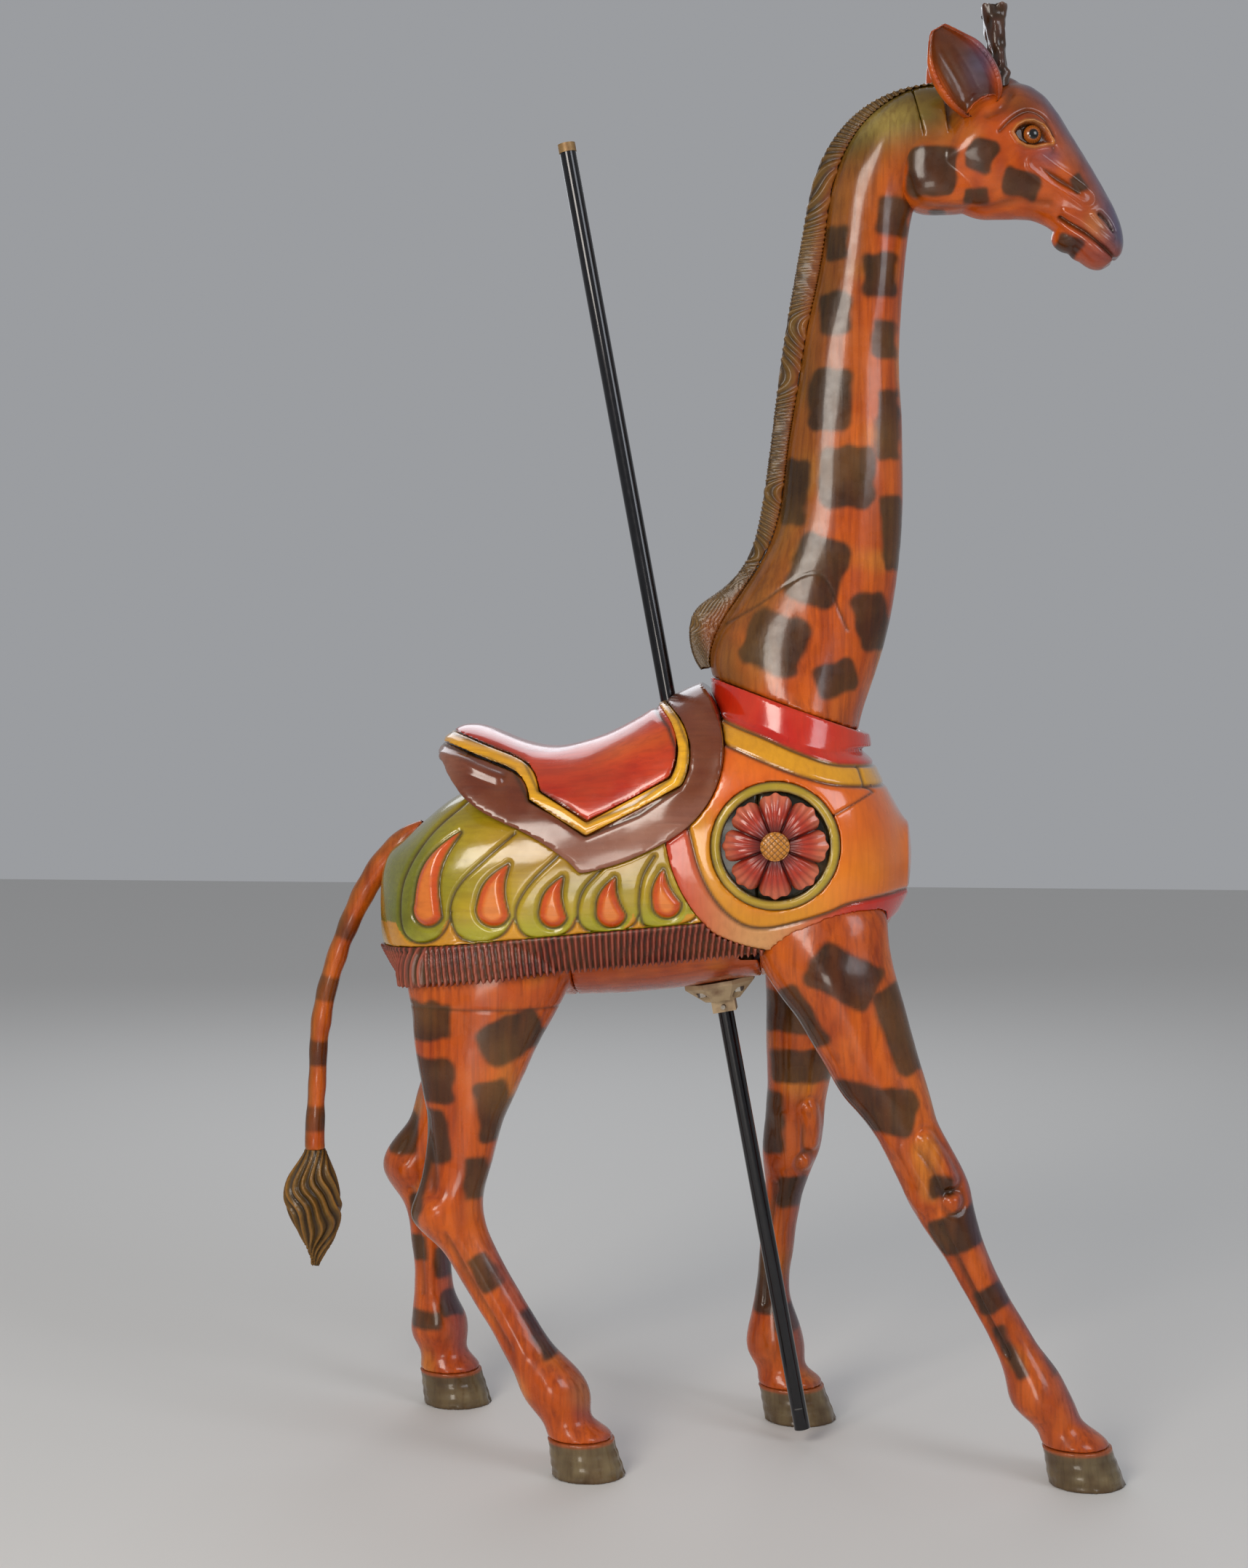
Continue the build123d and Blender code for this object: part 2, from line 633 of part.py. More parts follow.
for group in ("neck_dowels", "hip_dowels", "cannon_dowels", "hoof_dowels", "head_dowels"):
    groups[group] = []
for y in (-30, 30):
    groups["neck_dowels"].append(dowel(146, y, 1016, NECK_JOINT_LEAN))
    groups["neck_dowels"].append(dowel(215, y, NECK_LOWER_TOP_Z))
    groups["neck_dowels"].append(dowel(233, y * 0.7, NECK_MIDDLE_TOP_Z, 5))
    groups["head_dowels"].append(dowel(322, y * 0.6, 1772, HEAD_JOINT_LEAN, 60, 14))
for name in leg_forms:
    side = leg_side(name)
    joint_z = leg_joint(name)
    for z, x, y, _, _ in leg_stations[name]:
        if z == joint_z:
            for shift in (-30, 30):
                groups["hip_dowels"].append(dowel(x + shift, side * (y + 6), joint_z, 0, 70))
        if z == CANNON_JOINT_Z:
            groups["cannon_dowels"].append(dowel(x, side * y, z, 0, 50, 14))
        if z == HOOF_HEIGHT:
            groups["hoof_dowels"].append(dowel(x, side * y, z, 0, 40, 16))
drilled = [name for name in nodes if name.startswith(DOWELLED)]
boxes = {name: nodes[name].bounding_box() for name in drilled}
for node_name, pegs in groups.items():
    for peg in pegs:
        if not node_name.endswith("dowels"):
            continue
        point = peg.center()
        for wooden in drilled:
            box = boxes[wooden]
            near_x = box.min.X - 40 < point.X < box.max.X + 40
            near_y = box.min.Y - 10 < point.Y < box.max.Y + 10
            near_z = box.min.Z - 40 < point.Z < box.max.Z + 40
            if near_x and near_y and near_z:
                nodes[wooden] = nodes[wooden] - peg

# ---------------------------------------------------------------- centre the figure and write it
low = min(shape.bounding_box().min.X for shape in nodes.values())
high = max(shape.bounding_box().max.X for shape in nodes.values())
centre = Pos(-(low + high) / 2, 0, 0)
print("moved by", -(low + high) / 2)
os.makedirs("parts", exist_ok=True)
for name, shape in nodes.items():
    if len(shape.solids()) != 1:
        raise ValueError(f"{name} has {len(shape.solids())} solids")
    export_step(centre * shape, f"parts/{name}.step")
for name, pieces in groups.items():
    export_step(Compound(children=[centre * piece for piece in pieces]), f"parts/{name}.step")
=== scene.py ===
"""Looks of the carved carousel giraffe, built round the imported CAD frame.

Each carved piece starts as a fine skin over its CAD nodes, is carved by moving its points along
their normals, and is painted point by point. Drawing sizes are millimetres in the same drawing
as the CAD, and become metres in the row frame when they reach Blender.
"""
import math

import bmesh
import bpy
import numpy as np
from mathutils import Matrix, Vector


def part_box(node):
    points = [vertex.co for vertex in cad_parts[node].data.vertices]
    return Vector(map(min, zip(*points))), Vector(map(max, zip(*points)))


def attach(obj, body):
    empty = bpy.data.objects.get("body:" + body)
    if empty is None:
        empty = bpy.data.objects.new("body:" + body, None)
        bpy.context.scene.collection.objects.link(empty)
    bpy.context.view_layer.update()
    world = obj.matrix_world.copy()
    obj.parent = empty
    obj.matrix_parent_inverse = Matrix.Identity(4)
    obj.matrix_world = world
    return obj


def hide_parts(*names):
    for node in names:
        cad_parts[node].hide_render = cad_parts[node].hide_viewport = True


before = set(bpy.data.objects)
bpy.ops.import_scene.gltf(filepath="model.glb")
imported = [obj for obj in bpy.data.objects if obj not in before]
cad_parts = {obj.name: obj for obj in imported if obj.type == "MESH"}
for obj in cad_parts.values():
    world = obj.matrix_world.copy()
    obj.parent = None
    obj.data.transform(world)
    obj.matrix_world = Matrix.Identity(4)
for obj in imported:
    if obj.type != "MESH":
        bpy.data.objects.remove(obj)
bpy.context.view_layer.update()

MM = 0.001
DRAWING_X = -17.2825          # row frame x = drawing x + this, mm
LEFT_RIGHT = {"right": -1, "left": 1}
MEDAL = (133, 835)            # middle of each breast medallion, drawing mm
RECESS_RADIUS = 76            # the dark ground behind each flower
FLOWER_RADIUS = 68
BOSS_RADIUS = 19.5
PETALS = 8
PETAL_RIBS = 40               # fine ribs round the whole flower
STRAND_WIDTH = 8.2            # of the blanket's fringe
TAIL_BAND = 92                # from one dark band of the tail to the next
LOCK_WIDTH = 9.0              # of the mane
FLOOR_SIZE = 9                # half the floor's width, metres


# ---------------------------------------------------------------- colour
def rgb(red, green, blue):
    """Screen colour 0-255 as linear values."""
    values = []
    for channel in (red, green, blue):
        c = channel / 255
        values.append(c / 12.92 if c <= 0.04045 else ((c + 0.055) / 1.055) ** 2.4)
    return np.array(values)


HIDE_ORANGE = rgb(212, 96, 14)
HIDE_RED = rgb(166, 60, 10)
HIDE_GREEN = rgb(96, 78, 22)
HIDE_GOLD = rgb(222, 148, 50)
SPOT_BROWN = rgb(44, 28, 10)
SPOT_OLIVE = rgb(40, 38, 14)
MANE_COLOUR = rgb(104, 76, 26)
MANE_DARK = rgb(46, 32, 12)
SEAT_RED = rgb(212, 52, 4)
SEAT_DARK = rgb(162, 30, 4)
BORDER_YELLOW = rgb(246, 182, 12)
SKIRT_BROWN = rgb(112, 50, 22)
SKIRT_MAUVE = rgb(158, 104, 84)
SKIRT_PALE = rgb(170, 120, 98)
# Dark paint of carved lines and joints, also laid in carved hollows as painted shade
DARK_LINE_AND_SHADE = rgb(52, 34, 12)
BLANKET_GREEN = rgb(126, 128, 16)
BLANKET_YELLOW = rgb(200, 166, 22)
DROP_ORANGE = rgb(214, 82, 16)
FRINGE_RED = rgb(112, 46, 34)
FRINGE_PALE = rgb(186, 96, 78)
COLLAR_ORANGE = rgb(232, 108, 8)
BAND_RED = rgb(204, 30, 8)
BAND_YELLOW = rgb(230, 160, 22)
PETAL_RED = rgb(186, 58, 36)
PETAL_PALE = rgb(222, 124, 92)
PETAL_DARK = rgb(84, 16, 14)
BOSS_GOLD = rgb(206, 136, 44)
HOOF_GREY = rgb(122, 108, 78)
HOOF_DARK = rgb(78, 58, 34)
HOOF_RIM = rgb(176, 84, 34)
HORN_BROWN = rgb(86, 54, 42)
# Painted blue sheen: bluish light reflected on the varnish
PAINTED_BLUE_SHEEN = rgb(92, 88, 116)
BARE_WOOD = rgb(190, 150, 102)
RECESS_GREEN = rgb(34, 32, 14)


def mix(first, second, amount):
    """Blend of two colours, or of an array of colours and one colour, by a per-point amount."""
    amount = np.clip(np.asarray(amount, float), 0, 1)[..., None]
    return first * (1 - amount) + second * amount


# ---------------------------------------------------------------- fields over points
def ramp(low, high, value):
    """0 at `low` and 1 at `high`, smooth between them; `high` may be the smaller."""
    t = np.clip((value - low) / (high - low), 0, 1)
    return t * t * (3 - 2 * t)


def bell(value, width):
    """1 at 0, fading both ways."""
    return np.exp(-((value / width) ** 2))


def path_distance(u, v, points, closed=False):
    """Distance to a polyline in a plane, and the length along it to the nearest point."""
    points = [np.array(p, float) for p in points]
    if closed:
        points = points + [points[0]]
    best = np.full(u.shape, 1e9)
    along = np.zeros(u.shape)
    travelled = 0.0
    for a, b in zip(points, points[1:]):
        step = b - a
        length = math.hypot(*step)
        t = np.clip(((u - a[0]) * step[0] + (v - a[1]) * step[1]) / (length * length), 0, 1)
        gap = np.hypot(u - a[0] - t * step[0], v - a[1] - t * step[1])
        closer = gap < best
        best = np.where(closer, gap, best)
        along = np.where(closer, travelled + t * length, along)
        travelled += length
    return best, along


def curve(points, samples=8):
    """Smooth open curve through a few points."""
    pts = [np.array(p, float) for p in points]
    pts = [2 * pts[0] - pts[1]] + pts + [2 * pts[-1] - pts[-2]]
    out = []
    for i in range(1, len(pts) - 2):
        p0, p1, p2, p3 = pts[i - 1:i + 3]
        for k in range(samples):
            t = k / samples
            out.append(0.5 * (2 * p1 + (p2 - p0) * t + (2 * p0 - 5 * p1 + 4 * p2 - p3) * t * t
                              + (3 * p1 - p0 - 3 * p2 + p3) * t ** 3))
    out.append(pts[-2])
    return out


def inside(u, v, polygon):
    """True where a point is inside a closed polygon."""
    within = np.zeros(u.shape, bool)
    count = len(polygon)
    for i in range(count):
        ax, ay = polygon[i]
        bx, by = polygon[(i + 1) % count]
        if ay == by:
            continue
        crosses = ((ay > v) != (by > v)) & (u < (bx - ax) * (v - ay) / (by - ay) + ax)
        within ^= crosses
    return within


def signed_distance(u, v, polygon):
    """Distance to a closed polygon's edge, negative inside."""
    gap, _ = path_distance(u, v, polygon, closed=True)
    return np.where(inside(u, v, polygon), -gap, gap)


def rounded_block(u, v, centre, size, turn=0.0, corner=0.45):
    """Signed distance to a round-cornered block, sizes in mm, turned by degrees."""
    a = math.radians(turn)
    x = (u - centre[0]) * math.cos(a) + (v - centre[1]) * math.sin(a)
    y = -(u - centre[0]) * math.sin(a) + (v - centre[1]) * math.cos(a)
    r = corner * min(size) / 2
    qx = np.abs(x) - size[0] / 2 + r
    qy = np.abs(y) - size[1] / 2 + r
    return np.hypot(np.maximum(qx, 0), np.maximum(qy, 0)) + np.minimum(np.maximum(qx, qy), 0) - r


def lattice_noise(points, size, seed):
    """Smooth noise from -1 to 1 over points, with lumps about `size` mm across."""
    p = points / size
    cell = np.floor(p).astype(np.int64)
    f = p - cell
    f = f * f * (3 - 2 * f)
    total = np.zeros(len(p))
    for dx in (0, 1):
        for dy in (0, 1):
            for dz in (0, 1):
                n = (cell[:, 0] + dx) * 73856093 ^ (cell[:, 1] + dy) * 19349663
                n = n ^ (cell[:, 2] + dz) * 83492791 ^ seed * 2654435761
                n = (n ^ (n >> 13)) * 1274126177
                value = ((n ^ (n >> 16)) & 0xFFFF) / 32767.5 - 1
                wx = f[:, 0] if dx else 1 - f[:, 0]
                wy = f[:, 1] if dy else 1 - f[:, 1]
                wz = f[:, 2] if dz else 1 - f[:, 2]
                total += value * wx * wy * wz
    return total


# ---------------------------------------------------------------- meshes
class Skin:
    """A carved piece: its points in drawing millimetres, its normals and its paint."""

    def __init__(self, obj):
        self.obj = obj
        self.read()
        self.paint = np.zeros((len(self.p), 3))
        self.cut = np.zeros(len(self.p))

    def read(self):
        mesh = self.obj.data
        co = np.zeros(len(mesh.vertices) * 3, np.float32)
        mesh.vertices.foreach_get("co", co)
        self.p = co.reshape(-1, 3).astype(float) / MM
        self.p[:, 0] -= DRAWING_X
        normal = np.zeros(len(mesh.vertices) * 3, np.float32)
        mesh.vertices.foreach_get("normal", normal)
        self.n = normal.reshape(-1, 3).astype(float)
        self.x, self.y, self.z = self.p.T

    def gap(self, points):
        """Distance of every point to a smooth curve in side view."""
        return path_distance(self.x, self.z, curve(points))[0]

    def gap_by_side(self, right, left):
        """Distance to one curve on the right legs, and to another on the left ones."""
        return np.where(self.y < 0, self.gap(right), self.gap(left))

    def noise(self, size, seed, stretch=(1, 1, 1)):
        return lattice_noise(self.p * np.array(stretch), size, seed)

    def prime(self, first, second, amount):
        """First coat: one colour shading into another."""
        self.paint = mix(np.tile(first, (len(self.p), 1)), second, amount)

    def blend(self, colour, amount):
        """Another colour over the paint so far, by a per-point amount."""
        self.paint = mix(self.paint, colour, amount)

    def move(self, amount):
        """Moves points along their normals by millimetres; hollows are remembered for the painted shade."""
        self.p = self.p + self.n * amount[:, None]
        self.cut = np.minimum(self.cut, amount)
        self.write()

    def shift(self, dx=0.0, dy=0.0, dz=0.0):
        self.p = self.p + np.stack(np.broadcast_arrays(dx, dy, dz, self.x)[:3], axis=1)
        self.write()

    def write(self):
        out = self.p.copy()
        out[:, 0] += DRAWING_X
        self.obj.data.vertices.foreach_set("co", (out * MM).astype(np.float32).ravel())
        self.obj.data.update()
        self.read()

    def finish(self, material, nodes, slot, body="figure"):
        layer = self.obj.data.color_attributes.new("paint", "FLOAT_COLOR", "POINT")
        rgba = np.ones((len(self.p), 4), np.float32)
        rgba[:, :3] = np.clip(self.paint, 0, 1)
        layer.data.foreach_set("color", rgba.ravel())
        mesh = self.obj.data
        mesh.polygons.foreach_set("use_smooth", np.ones(len(mesh.polygons), bool))
        mesh.materials.clear()
        mesh.materials.append(material)
        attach(self.obj, body)
        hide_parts(*nodes)
        return self.obj


def new_object(name, mesh):
    obj = bpy.data.objects.new(name, mesh)
    bpy.context.scene.collection.objects.link(obj)
    return obj


def applied(obj):
    """Replaces an object's mesh by its evaluated one, modifiers included."""
    graph = bpy.context.evaluated_depsgraph_get()
    mesh = bpy.data.meshes.new_from_object(obj.evaluated_get(graph))
    obj.modifiers.clear()
    old = obj.data
    obj.data = mesh
    bpy.data.meshes.remove(old)
    return obj


def skin(name, nodes, voxel, smooth=4, extra=()):
    """Even skin over some CAD nodes, and over extra meshes, as a Skin."""
    gathered = bmesh.new()
    for node in nodes:
        gathered.from_mesh(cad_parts[node].data)
    for mesh in extra:
        gathered.from_mesh(mesh)
    mesh = bpy.data.meshes.new(name)
    gathered.to_mesh(mesh)
    gathered.free()
    obj = new_object(name, mesh)
    remesh = obj.modifiers.new("skin", "REMESH")
    remesh.mode = "VOXEL"
    remesh.voxel_size = voxel * MM
    soften = obj.modifiers.new("soften", "SMOOTH")
    soften.factor = 0.5
    soften.iterations = smooth
    return Skin(applied(obj))


# ---------------------------------------------------------------- materials
def painted_wood(name, grain=(1, 1, 0.06), grain_depth=0.25, rough=(0.16, 0.4), coat=0.42,
                 bump=0.15, worn=0.25, speck=0.35):
    """Varnished paint over wood: the piece's paint, streaked by grain, worn and scuffed."""
    material = bpy.data.materials.new(name)
    material.use_nodes = True
    tree = material.node_tree
    tree.nodes.clear()
    add = tree.nodes.new
    link = tree.links.new
    out = add("ShaderNodeOutputMaterial")
    shader = add("ShaderNodeBsdfPrincipled")
    link(shader.outputs[0], out.inputs["Surface"])
    shader.inputs["Coat Weight"].default_value = coat
    shader.inputs["Coat Roughness"].default_value = 0.12
    shader.inputs["Specular IOR Level"].default_value = 0.25
    place = add("ShaderNodeTexCoord")
    stretch = add("ShaderNodeMapping")
    stretch.inputs["Scale"].default_value = grain
    link(place.outputs["Object"], stretch.inputs["Vector"])
    paint = add("ShaderNodeAttribute")
    paint.attribute_name = "paint"

    def noise(scale, detail, vector, distortion=0.0):
        node = add("ShaderNodeTexNoise")
        node.inputs["Scale"].default_value = scale
        node.inputs["Detail"].default_value = detail
        node.inputs["Distortion"].default_value = distortion
        link(vector, node.inputs["Vector"])
        return node.outputs["Fac"]

    def remap(value, low, high, to_low, to_high):
        node = add("ShaderNodeMapRange")
        node.inputs["From Min"].default_value = low
        node.inputs["From Max"].default_value = high
        node.inputs["To Min"].default_value = to_low
        node.inputs["To Max"].default_value = to_high
        link(value, node.inputs["Value"])
        return node.outputs["Result"]

    def blend(kind, amount, first, second):
        node = add("ShaderNodeMix")
        node.data_type = "RGBA"
        node.blend_type = kind
        node.clamp_result = True
        if isinstance(amount, float):
            node.inputs[0].default_value = amount
        else:
            link(amount, node.inputs[0])
        link(first, node.inputs[6])
        if isinstance(second, tuple):
            node.inputs[7].default_value = second
        else:
            link(second, node.inputs[7])
        return node.outputs[2]

    streaks = noise(160, 6, stretch.outputs["Vector"], 0.4)
    blotches = noise(9, 4, place.outputs["Object"])
    specks = noise(420, 3, place.outputs["Object"])
    fine = noise(60, 8, place.outputs["Object"])
    colour = blend("MULTIPLY", remap(streaks, 0.42, 0.68, 0.0, grain_depth), paint.outputs["Color"],
                   (0.34, 0.2, 0.1, 1))
    colour = blend("MULTIPLY", remap(blotches, 0.35, 0.7, 0.0, 0.45), colour, (0.62, 0.5, 0.36, 1))
    colour = blend("SCREEN", remap(blotches, 0.55, 0.2, 0.0, 0.16), colour, (0.5, 0.24, 0.06, 1))
    colour = blend("MIX", remap(specks, 0.7, 0.76, 0.0, speck), colour, (0.03, 0.015, 0.008, 1))
    link(colour, shader.inputs["Base Color"])
    link(remap(fine, 0.3, 0.7, rough[0], rough[1]), shader.inputs["Roughness"])
    raise_grain = add("ShaderNodeBump")
    raise_grain.inputs["Strength"].default_value = bump
    raise_grain.inputs["Distance"].default_value = 0.0012
    link(streaks, raise_grain.inputs["Height"])
    dents = add("ShaderNodeBump")
    dents.inputs["Strength"].default_value = worn
    dents.inputs["Distance"].default_value = 0.002
    link(noise(28, 3, place.outputs["Object"]), dents.inputs["Height"])
    link(raise_grain.outputs["Normal"], dents.inputs["Normal"])
    link(dents.outputs["Normal"], shader.inputs["Normal"])
    return material


def plain_metal(name, colour, roughness, metallic, rust=0.0, scale=90, bump=0.1, coat=0.0):
    """Metal with rust or dirt in patches, and roughness and dents that follow them."""
    material = bpy.data.materials.new(name)
    material.use_nodes = True
    tree = material.node_tree
    shader = tree.nodes["Principled BSDF"]
    shader.inputs["Metallic"].default_value = metallic
    shader.inputs["Coat Weight"].default_value = coat
    place = tree.nodes.new("ShaderNodeTexCoord")
    patches = tree.nodes.new("ShaderNodeTexNoise")
    patches.inputs["Scale"].default_value = scale
    patches.inputs["Detail"].default_value = 8
    tree.links.new(place.outputs["Object"], patches.inputs["Vector"])
    colours = tree.nodes.new("ShaderNodeValToRGB")
    colours.color_ramp.elements[0].position = 0.42
    colours.color_ramp.elements[0].color = (*colour, 1)
    colours.color_ramp.elements[1].position = 0.72
    dirt = np.array(colour) * (1 - rust) + rgb(96, 48, 22) * rust
    dirt = dirt if rust > 0 else np.array(colour) * 1.6
    colours.color_ramp.elements[1].color = (*dirt, 1)
    tree.links.new(patches.outputs["Fac"], colours.inputs["Fac"])
    tree.links.new(colours.outputs["Color"], shader.inputs["Base Color"])
    spread = tree.nodes.new("ShaderNodeMapRange")
    spread.inputs["To Min"].default_value = roughness * 0.7
    spread.inputs["To Max"].default_value = min(1, roughness * 1.5)
    tree.links.new(patches.outputs["Fac"], spread.inputs["Value"])
    tree.links.new(spread.outputs["Result"], shader.inputs["Roughness"])
    dents = tree.nodes.new("ShaderNodeBump")
    dents.inputs["Strength"].default_value = bump
    dents.inputs["Distance"].default_value = 0.001
    tree.links.new(patches.outputs["Fac"], dents.inputs["Height"])
    tree.links.new(dents.outputs["Normal"], shader.inputs["Normal"])
    return material


UPRIGHT_GRAIN = (1, 1, 0.06)
LEVEL_GRAIN = (0.06, 1, 1)
hide = painted_wood("varnished_hide", UPRIGHT_GRAIN, 0.5)
hide_level = painted_wood("varnished_hide_level", LEVEL_GRAIN, 0.4)
head_wood = painted_wood("varnished_head", (0.3, 1, 0.3), 0.3)
mane_wood = painted_wood("mane_wood", (1, 1, 1), 0.3, rough=(0.3, 0.55), coat=0.3)
horn_wood = painted_wood("horn_wood", (1, 1, 0.3), 0.4, coat=0.5, bump=0.5, worn=0.6)
hoof_wood = painted_wood("hoof_wood", (1, 1, 0.15), 0.4, rough=(0.2, 0.55), coat=0.5, worn=0.7, speck=0.8)
saddle_paint = painted_wood("saddle_paint", LEVEL_GRAIN, 0.3, rough=(0.14, 0.32), coat=0.9)
skirt_paint = painted_wood("skirt_paint", LEVEL_GRAIN, 0.22, rough=(0.18, 0.35), coat=0.8)
trapping_paint = painted_wood("trapping_paint", LEVEL_GRAIN, 0.22, rough=(0.16, 0.34), coat=0.8)
collar_paint = painted_wood("collar_paint", (1, 1, 0.08), 0.16, rough=(0.14, 0.3), coat=0.9)
fringe_paint = painted_wood("fringe_paint", UPRIGHT_GRAIN, 0.3, rough=(0.3, 0.55), coat=0.3)
flower_paint = painted_wood("flower_paint", (1, 1, 1), 0.15, rough=(0.2, 0.4), coat=0.6)
glass = painted_wood("eye_glass", (1, 1, 1), 0.05, rough=(0.04, 0.09), coat=1.0, bump=0.0,
                     worn=0.02, speck=0.0)
pole_black = plain_metal("pole_black", rgb(20, 20, 24), 0.16, 0.6, bump=0.04, coat=0.6)
cap_worn = plain_metal("cap_worn", rgb(150, 118, 74), 0.4, 0.3, rust=0.4)
plate_cream = plain_metal("plate_cream", rgb(188, 164, 128), 0.55, 0.0, rust=0.75, scale=45, bump=0.5)
bare_steel = plain_metal("bare_steel", rgb(120, 116, 110), 0.35, 0.9, rust=0.3)

# ---------------------------------------------------------------- spots
NECK_SPOTS = [
    ((207, 1633), (30, 46), 0), ((205, 1538), (44, 58), 0), ((200, 1424), (58, 84), -2),
    ((222, 1319), (74, 84), 0), ((152, 1301), (36, 90), -6), ((184, 1196), (72, 92), -18),
    ((128, 1100), (84, 80), -20), ((281, 1664), (44, 52), -8), ((264, 1588), (46, 58), 0),
    ((270, 1504), (32, 52), 0), ((276, 1390), (30, 92), 0), ((283, 1246), (30, 100), 4),
    ((256, 1128), (46, 78), 12), ((208, 1052), (56, 46), 20),
]
HIND_SPOTS = [
    ((-340, 598), (44, 54), 0), ((-316, 600), (46, 50), 0), ((-215, 580), (84, 58), 24),
    ((-326, 520), (74, 62), 0), ((-238, 480), (44, 84), 6), ((-318, 446), (44, 74), 10),
    ((-345, 372), (30, 92), -12), ((-262, 392), (30, 60), 0), ((-250, 268), (30, 52), 30),
    ((-176, 190), (24, 70), 30),
]
FRONT_SPOTS = [
    ((222, 664), (96, 62), -28), ((164, 606), (44, 92), 34), ((300, 596), (52, 118), 22),
    ((262, 492), (110, 62), -8), ((352, 392), (34, 30), 0), ((372, 332), (70, 52), 20),
    ((416, 244), (40, 34), 25), ((440, 176), (16, 72), 28), ((500, 172), (30, 50), 30),
]
HIND_BACK_SPOTS = [
    ((-330, 520), (74, 62), 0), ((-300, 580), (84, 58), 24), ((-412, 400), (50, 60), 0),
    ((-372, 290), (60, 48), 0), ((-352, 210), (34, 48), 0), ((-392, 232), (26, 40), 0),
    ((-340, 150), (44, 36), 0), ((-382, 126), (50, 30), 0),
]
FRONT_BACK_SPOTS = [
    ((150, 590), (100, 60), 0), ((160, 512), (90, 50), 0), ((118, 430), (34, 90), 0),
    ((150, 330), (50, 44), 0), ((106, 200), (30, 90), 0), ((140, 150), (40, 40), 0),
]


def spotted(s, base, spots, soft=4.0, colour=SPOT_BROWN, strength=0.94):
    """Paints round-cornered blocks over a base, with wavering edges and an olive tint."""
    waver = s.noise(16, 3) * 3.5
    amount = np.zeros(len(s.p))
    for centre, size, turn in spots:
        gap = rounded_block(s.x, s.z, centre, size, turn) + waver
        amount = np.maximum(amount, ramp(soft, -soft, gap))
    tint = 0.5 + 0.5 * s.noise(60, 5)
    dark = mix(np.tile(colour, (len(s.p), 1)), SPOT_OLIVE, tint * 0.8)
    thin = strength * (0.95 + 0.05 * s.noise(9, 8, (1, 1, 0.15)))
    return mix(base, dark, amount * thin)


def hide_base(s, green):
    """Streaky orange-red varnish, greener where `green` says."""
    streak = s.noise(14, 11, (1, 1, 0.12))
    base = mix(np.tile(HIDE_ORANGE, (len(s.p), 1)), HIDE_RED, 0.4 + 0.45 * streak)
    base = mix(base, HIDE_GOLD, ramp(0.3, 0.9, s.noise(55, 12)) * 0.5)
    return mix(base, HIDE_GREEN, green)


def shaded(s, depth=3.0, strength=0.75):
    """Painted shade: darkens the paint in the hollows that were carved."""
    s.blend(DARK_LINE_AND_SHADE, np.clip(-s.cut / depth, 0, 1) * strength)


# ---------------------------------------------------------------- neck and head
MANE_EDGE = [(350, 1846), (300, 1842), (240, 1816), (183, 1744), (160, 1650), (134, 1497),
             (106, 1283), (86, 1214), (52, 1174), (14, 1142), (8, 1108), (24, 1064)]


def nape_green(s):
    """Olive glaze that deepens towards the mane."""
    edge = s.gap(MANE_EDGE)
    green = ramp(130, 30, edge) * 0.7 + ramp(1700, 1800, s.z) * 0.35
    return np.clip(green + 0.12 * s.noise(40, 9), 0, 1)


def make_neck():
    nodes = ["neck_lower", "neck_middle", "neck_upper"]
    s = skin("neck_carving", nodes, voxel=3.0, smooth=6)
    joint = s.gap([(60, 1126), (100, 1148), (182, 1192), (224, 1118)])
    crack = bell(joint, 1.8) * 0.8
    hollow = bell(s.z - 1690, 60) * bell(np.abs(s.y) - 38, 18) * bell(s.x - 290, 26) * 3
    cords = bell(np.abs(s.y) - 34, 11) * ramp(1480, 1620, s.z) * bell(s.x - 268, 16) * 2.5
    chisel = s.noise(26, 4, (1, 1, 0.25)) * 0.7
    s.move(chisel + cords - hollow - crack)
    s.paint = hide_base(s, nape_green(s))
    pale = bell(s.x - 262, 50) * bell(s.z - 1790, 26) * 0.7
    s.blend(rgb(170, 150, 78), pale)
    s.paint = spotted(s, s.paint, NECK_SPOTS)
    s.blend(DARK_LINE_AND_SHADE, bell(joint, 2.2) * 0.6)
    shaded(s, 3.0, 0.4)
    return s.finish(hide, nodes, "varnished_hide")


HEAD_SPOTS = [((396, 1738), (38, 42), -20), ((332, 1722), (66, 64), 0), ((449, 1702), (50, 32), -16),
              ((390, 1690), (32, 16), 0), ((523, 1703), (20, 26), 30), ((512, 1626), (34, 24), -30),
              ((340, 1660), (22, 30), 0)]
HEAD_TOP = [(452, 1850), (482, 1825), (512, 1782), (545, 1735), (565, 1690), (584, 1640)]
EYE = (461, 1767)
EYE_OPENING = [(439, 1768), (444, 1775), (453, 1780), (463, 1781), (473, 1777), (481, 1768), (487, 1757),
               (477, 1755), (466, 1752), (455, 1753), (446, 1758)]


def ellipsoid(name, centre, radii, power=2.0):
    """Closed ellipsoid in drawing mm, to add to a skin. Above power 2 its sides are flatter."""
    work = bmesh.new()
    bmesh.ops.create_uvsphere(work, u_segments=48, v_segments=32, radius=1.0)
    for vertex in work.verts:
        reach = sum(abs(c) ** power for c in vertex.co) ** (-1 / power)
        place = [centre[k] + vertex.co[k] * reach * radii[k] for k in range(3)]
        vertex.co = Vector(((place[0] + DRAWING_X) * MM, place[1] * MM, place[2] * MM))
    mesh = bpy.data.meshes.new(name)
    work.to_mesh(mesh)
    work.free()
    return mesh


